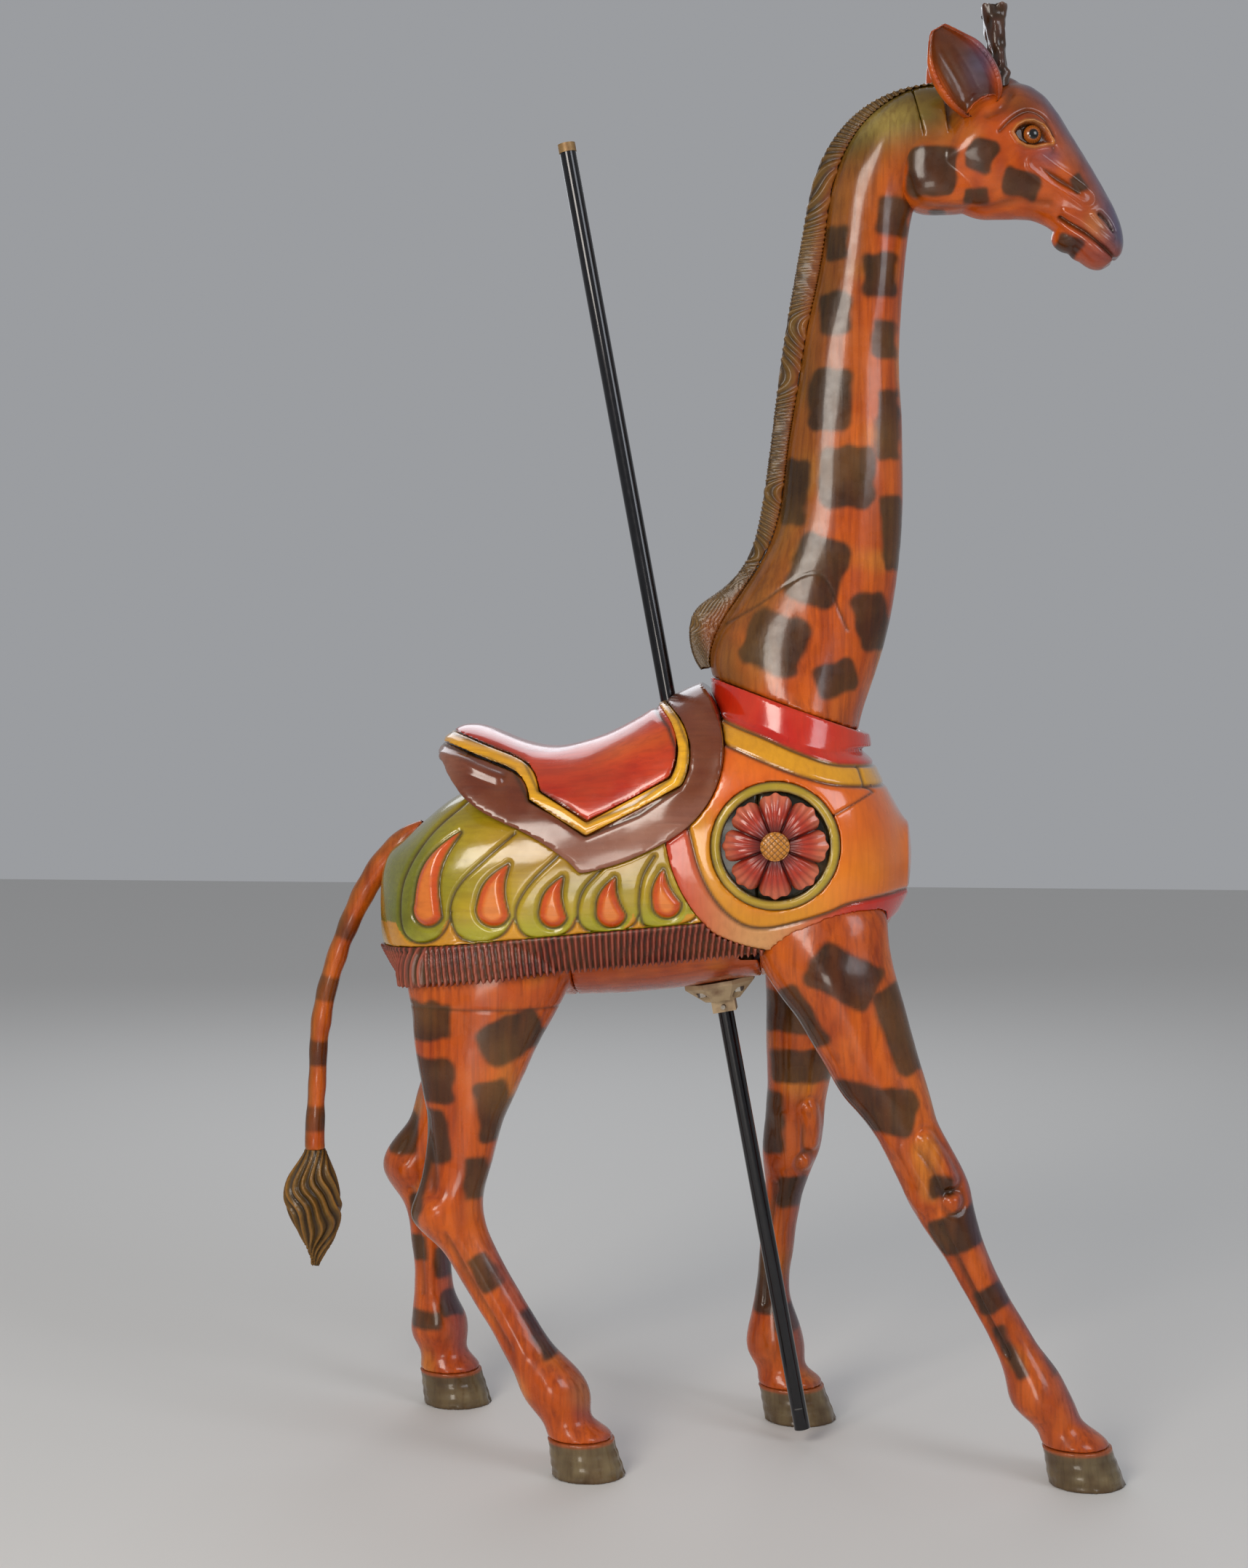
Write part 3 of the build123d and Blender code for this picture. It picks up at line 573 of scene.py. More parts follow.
def make_head():
    # Cheeks run back over the neck, the chin hangs below the lips, brows stand over the eyes.
    extra = [ellipsoid("cheeks", (348, 0, 1731), (60, 51.5, 57), 3.2)]
    for side in LEFT_RIGHT.values():
        extra.append(ellipsoid("brow", (449, side * 33, 1785), (30, 17, 19)))
        extra.append(ellipsoid("eye_bulge", (462, side * 35, 1767), (24, 17, 20)))
        extra.append(ellipsoid("lip", (549, side * 13, 1636), (22, 18, 15)))
    extra.append(ellipsoid("chin", (518, 0, 1638), (27, 25, 20)))
    extra.append(ellipsoid("lower_lip", (541, 0, 1621), (27, 22, 16)))
    extra.append(ellipsoid("poll", (418, 0, 1830), (36, 30, 24)))
    s = skin("head_carving", ["head"], voxel=1.7, smooth=9, extra=extra)
    side = np.abs(s.y)
    outer = ramp(16, 30, side)
    opening = signed_distance(s.x, s.z, EYE_OPENING)
    eye_gap = np.hypot(s.x - EYE[0], s.z - EYE[1])
    fold = s.gap([(420, 1769), (440, 1788), (460, 1797), (480, 1788), (490, 1766)])
    tear = s.gap([(486, 1757), (492, 1747), (488, 1740)])
    cheek, along = path_distance(s.x, s.z, curve([(468, 1729), (490, 1713), (513, 1699), (534, 1684)]))
    hollow = 6.5 * np.sin(np.clip(along / 80, 0.05, 0.95) * math.pi)
    jaw = s.gap([(300, 1716), (312, 1688), (340, 1675), (398, 1674), (440, 1682), (486, 1678)])
    mouth = s.gap([(500, 1660), (512, 1652), (530, 1641), (550, 1626), (572, 1609)])
    lip = s.gap([(506, 1668), (530, 1654), (548, 1640), (572, 1622)])
    lower_lip = s.gap([(506, 1648), (526, 1634), (545, 1619), (562, 1606)])
    nostril = s.gap([(553, 1664), (562, 1656), (570, 1643)])
    rim = s.gap([(543, 1664), (552, 1653), (563, 1642), (571, 1634)])
    ridge = s.gap([(478, 1740), (508, 1722), (530, 1704)])
    temple = s.gap([(404, 1790), (424, 1800), (436, 1822)])
    amount = (
        bell(opening - 3.0, 2.6) * 3.8 - bell(fold, 2.6) * 3.6 - ramp(0.5, -2.5, opening) * 8.0
        - bell(tear, 3.0) * 2.4 - ramp(hollow, hollow - 6, cheek) * 5.0 + bell(cheek - 11, 3.5) * 2.0
        - bell(jaw, 5.0) * 2.2 - bell(mouth, 2.6) * 7.5 + bell(lip, 4) * 2.2 + bell(lower_lip, 4) * 1.6
        - bell(nostril, 3.0) * 7.0 + bell(rim, 3.5) * 2.6 + bell(ridge, 9) * 3.0 - bell(temple, 6) * 3.0
    ) * outer
    amount -= bell(mouth, 2.6) * 5.0 * (1 - outer)
    amount += s.noise(16, 21) * 0.6
    s.move(amount)
    snout = ramp(1700, 1620, s.z) * ramp(500, 560, s.x)
    top_line, _ = path_distance(s.x, s.z, HEAD_TOP)
    s.paint = hide_base(s, nape_green(s) * ramp(420, 320, s.x) + ramp(1800, 1850, s.z) * 0.4)
    s.blend(rgb(170, 150, 78), bell(s.x - 262, 50) * bell(s.z - 1790, 26) * 0.7)
    s.paint = spotted(s, s.paint, HEAD_SPOTS, 3)
    s.blend(HIDE_GREEN * 0.7, bell(top_line, 30) * 0.6)
    # Painted blue sheen on the nose ridge, the snout, the top of the face and below the eye.
    below_eye = bell(np.hypot((s.x - 486) / 1.4, s.z - 1738), 14) * outer
    ridge_top = bell(side, 14) * bell(top_line, 30)
    s.blend(PAINTED_BLUE_SHEEN, bell(top_line, 18) * 0.8 + snout * 0.3 + ridge_top * 0.3 + below_eye * 0.5)
    s.blend(SPOT_BROWN, bell(np.hypot((s.x - 446) / 1.5, s.z - 1800), 16) * outer * 0.6)
    s.blend(SPOT_BROWN, ramp(24, 14, eye_gap) * outer * 0.7)
    # Gold painted highlight along the raised lid rims.
    s.blend(HIDE_GOLD, bell(opening - 3.0, 2.0) * outer * 0.55)
    shaded(s, 4.5, 0.75)
    return s.finish(head_wood, ["head"], "varnished_hide")


def make_ear(side_name):
    side = LEFT_RIGHT[side_name]
    node = "ear_" + side_name
    s = skin("ear_carving_" + side_name, [node], voxel=1.6, smooth=4)
    axis_gap, along = path_distance(s.x, s.z, [(404, 1788), (374, 1843), (338, 1901)])
    facing = np.clip(s.n[:, 1] * side, 0, 1)
    ribs = np.cos(axis_gap / 9 * math.pi) * 1.1 * facing * bell(along - 70, 40)
    curl = bell(axis_gap - 34, 8) * facing * 2.5
    cup = facing * ramp(34, 14, axis_gap)
    lumps = bell(np.hypot(s.x - 392, s.z - 1812), 16) * s.noise(9, 32) * 4 * facing
    s.move(ribs * 0.7 + curl * 1.4 - cup * 4.5 + lumps)
    s.prime(HIDE_RED, HIDE_ORANGE, 0.5 + 0.5 * s.noise(20, 31))
    # Painted shade inside the ear's cup.
    inner = facing * ramp(36, 20, axis_gap)
    s.blend(SPOT_BROWN, inner * 0.92)
    # Painted blue sheen on the ear's upper front.
    s.blend(PAINTED_BLUE_SHEEN, bell(s.x - 396, 20) * bell(s.z - 1862, 30) * 0.85)
    return s.finish(head_wood, [node], "varnished_hide")


def make_horn(side_name):
    node = "horn_" + side_name
    s = skin("horn_carving_" + side_name, [node], voxel=1.3, smooth=2)
    height = s.z - 1850
    knobs = s.noise(9, 41, (1, 1, 0.7)) * 3.2
    furrows = np.cos(np.arctan2(s.y, s.x - 418) * 5 + height * 0.05) * 1.1
    s.move((knobs + furrows) * ramp(-15, 5, height) - 0.8)
    # Painted shade and highlight: darker in the dips between knobs, lighter on the knobs.
    s.prime(HORN_BROWN, SPOT_BROWN, 0.5 - 0.5 * knobs / 3)
    s.blend(rgb(150, 120, 104), ramp(1938, 1944, s.z) * 0.6)
    shaded(s, 3, 0.6)
    return s.finish(horn_wood, [node], "horn_brown")


def make_eye(side_name):
    """Glass eye: amber iris, round dark pupil, clear gloss."""
    side = LEFT_RIGHT[side_name]
    node = "glass_eye_" + side_name
    low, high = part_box(node)
    centre = (low + high) / 2 + Vector((0.0, -side * 1.5 * MM, 0.0))
    radius = (high - low).x / 2 * 0.94
    work = bmesh.new()
    bmesh.ops.create_uvsphere(work, u_segments=64, v_segments=48, radius=radius)
    bmesh.ops.translate(work, vec=centre, verts=work.verts)
    mesh = bpy.data.meshes.new("eye_" + side_name)
    work.to_mesh(mesh)
    work.free()
    s = Skin(new_object("eye_" + side_name, mesh))
    gaze = np.array([0.25, side, -0.05])
    gaze = gaze / np.linalg.norm(gaze)
    angle = np.degrees(np.arccos(np.clip(s.n @ gaze, -1, 1)))
    spokes = 0.5 + 0.5 * np.cos(np.arctan2(s.n[:, 2], s.n[:, 0]) * 22)
    iris = mix(np.tile(rgb(150, 74, 20), (len(s.p), 1)), rgb(206, 120, 40), spokes * 0.6)
    s.paint = mix(iris, rgb(8, 5, 4), ramp(30, 26, angle))
    s.blend(rgb(26, 12, 5), ramp(54, 60, angle))
    return s.finish(glass, [node], "eye_glass")


def make_mane():
    s = skin("mane_carving", ["mane"], voxel=1.7, smooth=3)
    edge, along = path_distance(s.x, s.z, curve(MANE_EDGE, 12))
    flank = ramp(2, 8, np.abs(s.y))
    slant = along + edge * 0.5
    lock = LOCK_WIDTH + 1.2 * np.sin(along / 37)
    hump = ramp(1215, 1150, s.z)
    slant = slant * (1 - hump) + (s.z * 0.8 - s.x * 0.9) * hump
    hair = np.cos(slant / lock * 2 * math.pi)
    fine_hair = np.cos(slant / lock * 4 * math.pi + 1) * (1 - hump)
    taper = ramp(26, 4, edge)
    combed = (hair * 1.5 * (0.4 + flank * 0.6) + fine_hair * 0.35) * (1 - 0.45 * hump)
    s.move(combed - taper * flank * 2.6)
    # Painted shade in the valleys between the locks.
    valley = ramp(0.1, -0.9, hair)
    s.prime(MANE_COLOUR, MANE_DARK, valley * 0.85)
    s.blend(HIDE_ORANGE, ramp(10, 28, edge) * 0.25)
    return s.finish(mane_wood, ["mane"], "mane_olive")


# ---------------------------------------------------------------- body and legs
def make_hindquarters():
    nodes = ["rump_block"]
    for name in ("right_hind", "left_hind"):
        nodes += ["upper_leg_" + name, "cannon_" + name]
    s = skin("hindquarters_carving", nodes, voxel=3.2, smooth=7)
    right = s.y < 0
    hock_x = np.where(right, -318, -410)
    ridge = s.gap_by_side([(-292, 330), (-240, 240), (-196, 165)], [(-388, 330), (-382, 240), (-376, 165)])
    groove = s.gap_by_side([(-300, 318), (-262, 246), (-214, 168)], [(-398, 320), (-390, 240), (-386, 165)])
    side = np.abs(s.n[:, 1])
    point = bell(np.hypot((s.x - hock_x), (s.z - 348) / 1.2), 20)
    muscle = s.gap_by_side([(-206, 560), (-246, 470), (-262, 400), (-290, 352)],
                           [(-226, 560), (-290, 470), (-340, 400), (-382, 352)])
    dip = s.gap_by_side([(-334, 470), (-322, 400), (-318, 372)], [(-388, 470), (-402, 400), (-412, 372)])
    joint = np.abs(s.z - 616)
    amount = (
        point * side * 10 + bell(muscle, 24) * side * 5.0 - bell(dip, 10) * side * 7.0
        - bell(groove, 4.5) * side * 4.5 + bell(ridge, 8) * side * 2.0
        - bell(joint, 1.6) * 0.9
    )
    fetlock_x = np.where(right, -160, -368)
    amount += bell(np.hypot(s.x - fetlock_x, s.z - 112), 20) * side * 3
    amount += s.noise(30, 6) * 0.8
    s.move(amount)
    s.paint = hide_base(s, ramp(0, 26, -(s.x - hock_x) - 16) * ramp(560, 480, s.z) * 0.4)
    near = spotted(s, s.paint, HIND_SPOTS)
    far = spotted(s, s.paint, HIND_BACK_SPOTS)
    s.paint = np.where(right[:, None], near, far)
    # Painted blue sheen on the forward-facing lower legs.
    s.blend(PAINTED_BLUE_SHEEN, ramp(0.3, 0.9, s.n[:, 0]) * ramp(330, 280, s.z) * 0.35)
    s.blend(DARK_LINE_AND_SHADE, bell(joint, 2.0) * 0.5)
    shaded(s, 5, 0.6)
    return s.finish(hide, nodes, "varnished_hide")


def make_forequarters():
    nodes = ["chest_block"]
    for name in ("right_front", "left_front"):
        nodes += ["upper_leg_" + name, "cannon_" + name]
    s = skin("forequarters_carving", nodes, voxel=3.2, smooth=7)
    right = s.y < 0
    side = ramp(0.25, 0.8, np.abs(s.n[:, 1]))

    def leaning(x_right, z, x_left):
        """Gap to a point that is placed apart on the two legs."""
        return np.hypot(s.x - np.where(right, x_right, x_left), s.z - z)

    # The knee: a long lozenge above, a round boss below, ridges between them and grooves round.
    lozenge = s.gap_by_side([(330, 452), (350, 425), (362, 400)], [(172, 450), (178, 425), (178, 400)])
    boss_gap = leaning(366, 372, 168)
    ridge = s.gap_by_side([(296, 440), (322, 398), (342, 372)], [(128, 440), (134, 398), (140, 372)])
    heel_gap = leaning(322, 366, 122)
    tendon = s.gap_by_side([(350, 340), (388, 262), (436, 170)], [(122, 340), (112, 262), (108, 170)])
    forearm = s.gap_by_side([(200, 660), (240, 570), (300, 470)], [(180, 650), (160, 560), (152, 470)])
    amount = (
        (bell(lozenge, 9) * 5.5 - bell(lozenge - 15, 4.5) * 3.5) * side
        + (bell(boss_gap, 10) * 5 - bell(boss_gap - 15, 4.5) * 3.5) * side
        + bell(ridge, 8) * 3.5 * side + bell(heel_gap, 13) * 5 * side
        - bell(tendon, 4.5) * 5 * side
        + bell(forearm, 34) * 5 * side
    )
    amount += bell(leaning(478, 112, 122), 20) * side * 3
    amount += s.noise(30, 7) * 0.8
    s.move(amount)
    s.paint = hide_base(s, np.full(len(s.p), 0.05))
    near = spotted(s, s.paint, FRONT_SPOTS)
    far = spotted(s, s.paint, FRONT_BACK_SPOTS)
    s.paint = np.where(right[:, None], near, far)
    # Painted blue sheen on the forward-facing lower legs.
    s.blend(PAINTED_BLUE_SHEEN, ramp(0.4, 0.95, s.n[:, 0]) * ramp(460, 400, s.z) * 0.4)
    s.blend(RECESS_GREEN, np.hypot(s.x - MEDAL[0], s.z - MEDAL[1]) < RECESS_RADIUS)
    shaded(s, 4, 0.65)
    return s.finish(hide, nodes, "varnished_hide")


def make_barrel():
    nodes = ["belly_board", "back_board", "side_board_right", "side_board_left"]
    s = skin("barrel_carving", nodes, voxel=5.0, smooth=4)
    s.move(s.noise(40, 13) * 0.6)
    s.paint = hide_base(s, np.full(len(s.p), 0.0))
    s.blend(HIDE_RED, ramp(690, 640, s.z) * 0.5)
    s.blend(RECESS_GREEN, np.hypot(s.x - MEDAL[0], s.z - MEDAL[1]) < RECESS_RADIUS)
    return s.finish(hide_level, nodes, "varnished_hide")


def make_hoof(name):
    node = "hoof_" + name
    s = skin("hoof_carving_" + name, [node], voxel=1.8, smooth=3)
    low, high = s.p.min(0), s.p.max(0)
    centre = (low + high) / 2
    around = np.arctan2(s.y - centre[1], s.x - centre[0])
    level = (s.z - low[2]) / (high[2] - low[2])
    wall = ramp(0.5, 0.9, np.hypot(s.n[:, 0], s.n[:, 1]))
    rings = np.cos(level * 22) * 0.35
    chips = np.minimum(s.noise(11, 51), 0) * ramp(0.35, 0.0, level) * 2.4
    cleft = -bell(around, 0.05) * 1.2
    rim = bell(level - 0.97, 0.06) * 1.5
    s.move((rings + chips + cleft + rim + s.noise(8, 52, (1, 1, 0.3)) * 0.4) * wall)
    s.shift(dz=np.maximum(0, -s.z) + 0.0)
    s.prime(HOOF_GREY, HOOF_DARK, 0.45 + 0.5 * s.noise(17, 53))
    s.blend(HOOF_DARK, ramp(0.12, 0.0, level) * 0.7)
    s.blend(HOOF_RIM, ramp(0.86, 0.95, level) * 0.8)
    shaded(s, 2.5, 0.5)
    return s.finish(hoof_wood, [node], "hoof_grey")


TAIL_PATH = [(-352, 848), (-395, 818), (-432, 776), (-470, 700), (-497, 620), (-510, 530), (-515, 396)]


def make_tail():
    s = skin("tail_carving", ["tail"], voxel=2.0, smooth=3)
    _, along = path_distance(s.x, s.z, curve(TAIL_PATH))
    bands = ramp(0.1, 0.6, np.cos(along / TAIL_BAND * 2 * math.pi)) * ramp(140, 200, along)
    root = ramp(-392, -352, s.x)
    s.move(np.cos(along / (TAIL_BAND / 2) * 2 * math.pi) * 0.5 + s.noise(22, 61) * 0.7 - root * 9)
    # Darker olive on the side that faces back: painted shade.
    s.paint = hide_base(s, ramp(0.2, -0.9, s.n[:, 0]) * 0.6)
    s.blend(SPOT_BROWN, bands * (0.75 + 0.2 * s.noise(20, 62)))
    return s.finish(hide, ["tail"], "varnished_hide")


def make_tuft():
    s = skin("tail_tuft_carving", ["tail_tuft"], voxel=1.5, smooth=2)
    around = np.arctan2(s.y, s.x + 517)
    drop = 396 - s.z
    wave = np.sin(drop / 22) * 0.45 + np.sin(drop / 9 + around * 2) * 0.08
    strand = np.cos((around + wave) * 13)
    s.move(strand * 2.4 * ramp(4, 40, drop) + np.cos((around + wave) * 31 + 1) * 0.6)
    # Painted shade between the strands and a gold painted highlight on their crests.
    s.prime(MANE_COLOUR, MANE_DARK, ramp(0.3, -0.9, strand))
    s.blend(HIDE_GOLD, ramp(0.6, 1.0, strand) * 0.25)
    return s.finish(mane_wood, ["tail_tuft"], "mane_olive")


# ---------------------------------------------------------------- saddle, blanket, collar
BORDER_LINE = [(-22, 1022), (2, 999), (18, 965), (18, 935), (8, 912), (-45, 876), (-114, 847), (-150, 872),
               (-192, 893), (-203, 912), (-216, 932), (-250, 946), (-312, 964), (-345, 968)]
CANTLE_RIDGE = [(-318, 950), (-292, 944), (-262, 932), (-234, 922)]


def make_saddle():
    seat = skin("saddle_seat_carving", ["saddle_seat"], voxel=2.8, smooth=5)
    gap, _ = path_distance(seat.x, seat.z, BORDER_LINE)
    seat.move(bell(gap - 15, 5) * -2.2 + seat.noise(45, 71) * 0.8)
    seat.prime(SEAT_RED, SEAT_DARK, 0.35 + 0.5 * seat.noise(28, 72, (0.3, 1, 1)))
    seat.blend(SEAT_DARK, ramp(-230, -300, seat.x) * 0.6)
    seat.blend(COLLAR_ORANGE, bell(seat.z - 955 - (seat.x + 90) * 0.3, 16) * bell(seat.x + 40, 80) * 0.5)
    seat.blend(DARK_LINE_AND_SHADE, bell(gap - 15.5, 3.0) * 0.9)
    seat.finish(saddle_paint, ["saddle_seat"], "saddle_red")
    border = skin("saddle_border_carving", ["saddle_border"], voxel=2.2, smooth=4)
    gap, _ = path_distance(border.x, border.z, BORDER_LINE)
    border.move(bell(gap - 7.5, 4) * 1.2 - 0.3)
    border.prime(BORDER_YELLOW, HIDE_GOLD, 0.25 + 0.3 * border.noise(30, 73))
    border.blend(DARK_LINE_AND_SHADE, bell(gap, 2.2) * 0.7 + bell(gap - 15, 2.2) * 0.7)
    nick = np.hypot(border.x - 7, border.z - 906) * (border.y < 0) + 99 * (border.y >= 0)
    border.blend(SPOT_BROWN, bell(nick, 4) * 0.8)
    border.finish(saddle_paint, ["saddle_border"], "border_yellow")
    skirt = skin("saddle_skirt_carving", ["saddle_skirt"], voxel=2.8, smooth=5)
    gap, _ = path_distance(skirt.x, skirt.z, BORDER_LINE)
    ridge = skirt.gap(CANTLE_RIDGE)
    relief = bell(ridge, 6) * 3.0 - bell(ridge - 11, 5) * 2.0
    skirt.move(skirt.noise(40, 74) * 0.8 - bell(gap, 4) * 1.8 + relief)
    # Brown shading to mauve towards the lower edge: mauve is the skirt's paint, and the paler lower edge is
    # also painted light falling from below.
    lit_low_edge = ramp(900, 840, skirt.z - (skirt.x + 60) * 0.25)
    skirt.prime(SKIRT_BROWN, SKIRT_MAUVE, lit_low_edge * 0.8 + 0.2 * skirt.noise(26, 75))
    skirt.blend(SKIRT_PALE, ramp(-268, -320, skirt.x) * 0.55)
    skirt.blend(DARK_LINE_AND_SHADE, bell(gap, 2.8) * 0.85)
    skirt.finish(skirt_paint, ["saddle_skirt"], "skirt_mauve")


# Teardrops: tip, foot, half width, and how far the middle bows towards the tail.
DROPS = [
    ((-285, 850), (-335, 727), 21, 16),
    ((-217, 809), (-244, 728), 22, 8),
    ((-145, 793), (-162, 727), 18, 6),
    ((-76, 793), (-83, 727), 19, 6),
    ((-13, 804), (-6, 740), 18, 5),
]
# Carved scallops: each comes down from the right, runs round below a teardrop and ends on the next.
SCALLOPS = [
    [(-281, 891), (-332, 843), (-362, 792), (-370, 753), (-367, 718), (-352, 703), (-333, 701), (-313, 709),
     (-300, 725), (-294, 745)],
    [(-210, 850), (-249, 815), (-281, 783), (-294, 757), (-294, 735), (-286, 714), (-268, 707), (-243, 707),
     (-223, 717), (-209, 738)],
    [(-150, 822), (-185, 787), (-204, 758), (-207, 736), (-198, 717), (-179, 709), (-153, 711), (-134, 724),
     (-125, 742)],
    [(-92, 806), (-118, 775), (-125, 743), (-116, 724), (-96, 717), (-67, 720), (-51, 731), (-44, 745)],
    [(-24, 822), (-39, 795), (-44, 766), (-43, 744), (-36, 728), (-13, 725), (18, 732), (34, 744)],
]


def drop_gap(s, tip, foot, half_width, bow):
    """Signed distance to a bowed teardrop that is pointed above and round below."""
    length = math.dist(tip, foot)
    ux, uz = (tip[0] - foot[0]) / length, (tip[1] - foot[1]) / length
    centre = (foot[0] + ux * half_width, foot[1] + uz * half_width)
    t = (s.x - centre[0]) * ux + (s.z - centre[1]) * uz
    reach = length - half_width
    across = (s.x - centre[0]) * uz - (s.z - centre[1]) * ux
    w = np.abs(across + bow * np.sin(np.clip(t / reach, 0, 1) * math.pi))
    taper = half_width * np.clip(1 - np.clip(t, 0, None) / reach, 0, 1) ** 0.8
    above = np.where(t > reach, np.hypot(t - reach, w), w - taper)
    return np.where(t < 0, np.hypot(t, w) - half_width, above)


def fringe_line(x):
    return 693 + (x + 372) * 0.0988


def make_blanket():
    nodes = ["blanket_right", "blanket_left"]
    s = skin("blanket_carving", nodes, voxel=2.2, smooth=4)
    raised = np.full(len(s.p), 1e9)
    for drop in DROPS:
        raised = np.minimum(raised, drop_gap(s, *drop))
    ring = np.full(len(s.p), 1e9)
    below = np.full(len(s.p), True)
    for scallop in SCALLOPS:
        line = curve(scallop, 6)
        gap, _ = path_distance(s.x, s.z, line)
        ring = np.minimum(ring, gap)
        foot = [tuple(p) for p in line if p[1] < 760]
        xs = [p[0] for p in foot]
        lowest = min(range(len(foot)), key=lambda k: foot[k][1])
        bottom = foot[lowest]
        gap_x = np.abs(s.x - bottom[0]) / (max(xs) - min(xs)) * 2
        below &= s.z < bottom[1] + 30 * np.clip(gap_x, 0, 1.15) ** 3
    outward = ramp(0.2, 0.5, np.abs(s.n[:, 1]))
    pillow = ramp(1, -10, raised) * 5.5
    moat = bell(raised - 2.5, 2.8) * 3.0
    cover = ramp(-3, 4, raised)
    s.move((pillow - moat - bell(ring, 2.6) * 3.4 * cover) * outward + s.noise(40, 81) * 0.6)
    height = s.z - fringe_line(s.x)
    tone = s.noise(34, 82)
    s.prime(BLANKET_YELLOW, BLANKET_GREEN, 0.45 + 0.3 * tone)
    s.blend(rgb(176, 120, 30), bell(height - 115, 46) * ramp(-300, -200, s.x) * 0.55)
    s.blend(rgb(92, 110, 20), ramp(-270, -360, s.x) * 0.75)
    s.blend(rgb(168, 172, 36), ramp(40, 8, height) * 0.6)
    wedge = below & (height < 34)
    s.blend(rgb(224, 150, 34), wedge * outward * 0.85)
    s.blend(DROP_ORANGE, ramp(1, -2, raised) * outward)
    s.blend(rgb(240, 156, 64), ramp(-5, -13, raised) * outward * 0.5)
    s.blend(DARK_LINE_AND_SHADE, np.maximum(bell(ring, 2.1) * cover, bell(raised - 1.5, 2.0)) * outward * 0.9)
    s.finish(trapping_paint, nodes, "blanket_green")


def make_fringe():
    nodes = ["fringe_right", "fringe_left"]
    s = skin("fringe_carving", nodes, voxel=2.0, smooth=3)
    drop = fringe_line(s.x) - s.z
    # Strands run down the sides, and turn to run round the rump.
    around = np.where(s.x < -330, np.abs(s.y), s.x * 1.0)
    sway = np.sin(s.x / 61) * 3 + drop * 0.16 * np.sin(s.x / 97 + 1)
    strand = np.cos((around + sway) / STRAND_WIDTH * 2 * math.pi + s.noise(30, 91, (1, 1, 0.2)))
    outward = ramp(0.15, 0.5, np.hypot(s.n[:, 0], s.n[:, 1]))
    heading = bell(drop - 3, 3.5) * 2.0
    s.move((strand * 2.3 * ramp(2, 10, drop) + heading) * outward - ramp(10, 0, drop) * 0.3)
    s.shift(dz=strand * -2.4 * ramp(34, 48, drop))
    # Painted shade in the valleys between strands and a pale painted highlight on their crests.
    s.prime(FRINGE_RED, MANE_DARK, ramp(0.1, -0.8, strand) * 0.85)
    s.blend(FRINGE_PALE, ramp(0.55, 0.98, strand) * 0.7)
    s.finish(fringe_paint, nodes, "fringe_red")


BAND_TOP = [(6, 1030), (57, 1000), (113, 977), (169, 953), (214, 940), (290, 936)]
BAND_LOW = [(40, 980), (71, 964), (137, 936), (181, 921), (220, 913), (290, 910)]
HEM_UPPER = [(14, 870), (21, 853), (32, 811), (46, 778), (66, 750), (91, 731), (116, 726), (144, 730),
             (199, 746), (232, 759), (287, 769), (300, 771)]


def make_collar():
    nodes = ["breast_collar_right", "breast_collar_left"]
    s = skin("breast_collar_carving", nodes, voxel=2.6, smooth=5)
    lines = []
    for line in (BAND_TOP, BAND_LOW, HEM_UPPER):
        gap = s.gap(line)
        lines.append(gap)
    grooves = bell(np.minimum(np.minimum(lines[0], lines[1]), lines[2]), 2.6)
    crack, _ = path_distance(s.x, s.z, [(195, 867), (225, 884), (260, 904), (247, 913), (236, 938)])
    crack_right = bell(crack, 1.6) * (s.y < 0)
    front = np.hypot(s.y / 92, (s.z - 815) / 84)
    swell = ramp(236, 300, s.x) * bell(front, 0.66) * 8
    s.shift(dx=swell + ramp(215, 258, s.x) * bell(s.z - 946, 20) * 6)
    outward = ramp(-0.1, 0.3, np.hypot(s.n[:, 0], s.n[:, 1]))
    s.move((-grooves * 3.0 - crack_right * 2.2) * outward + s.noise(45, 95) * 0.7)

    def over(line):
        xs = [p[0] for p in line]
        zs = [p[1] for p in line]
        return s.z - np.interp(s.x, xs, zs)

    s.prime(COLLAR_ORANGE, BAND_RED, 0.12 + 0.22 * s.noise(50, 96))
    s.blend(BAND_YELLOW, bell(s.x - 250, 50) * bell(s.z - 800, 60) * 0.3)
    low_line = s.gap(HEM_UPPER)
    upper = ramp(-1.5, 1.5, over(BAND_LOW))
    s.blend(BAND_YELLOW, upper)
    s.blend(BAND_RED, ramp(-1.5, 1.5, over(BAND_TOP)))
    # The chest turns yellow towards the lower border, which is red, with a cream painted highlight across
    # its middle part.
    s.blend(BAND_YELLOW, ramp(60, 8, low_line) * ramp(250, 150, s.x) * 0.85)
    hem = curve(HEM_UPPER)
    region = [tuple(p) for p in hem] + [(420, 776), (420, 1100), (-60, 1100), (-60, 866)]
    below = ramp(-1.5, 1.5, signed_distance(s.x, s.z, region))
    s.blend(BAND_RED, below)
    # Cream painted highlight on the lower red border.
    s.blend(rgb(232, 190, 120), below * bell(s.x - 110, 74) * 0.7)
    s.blend(DARK_LINE_AND_SHADE, grooves * 0.9)
    s.blend(DARK_LINE_AND_SHADE, crack_right * 0.8)
    s.finish(collar_paint, nodes, "collar_orange")


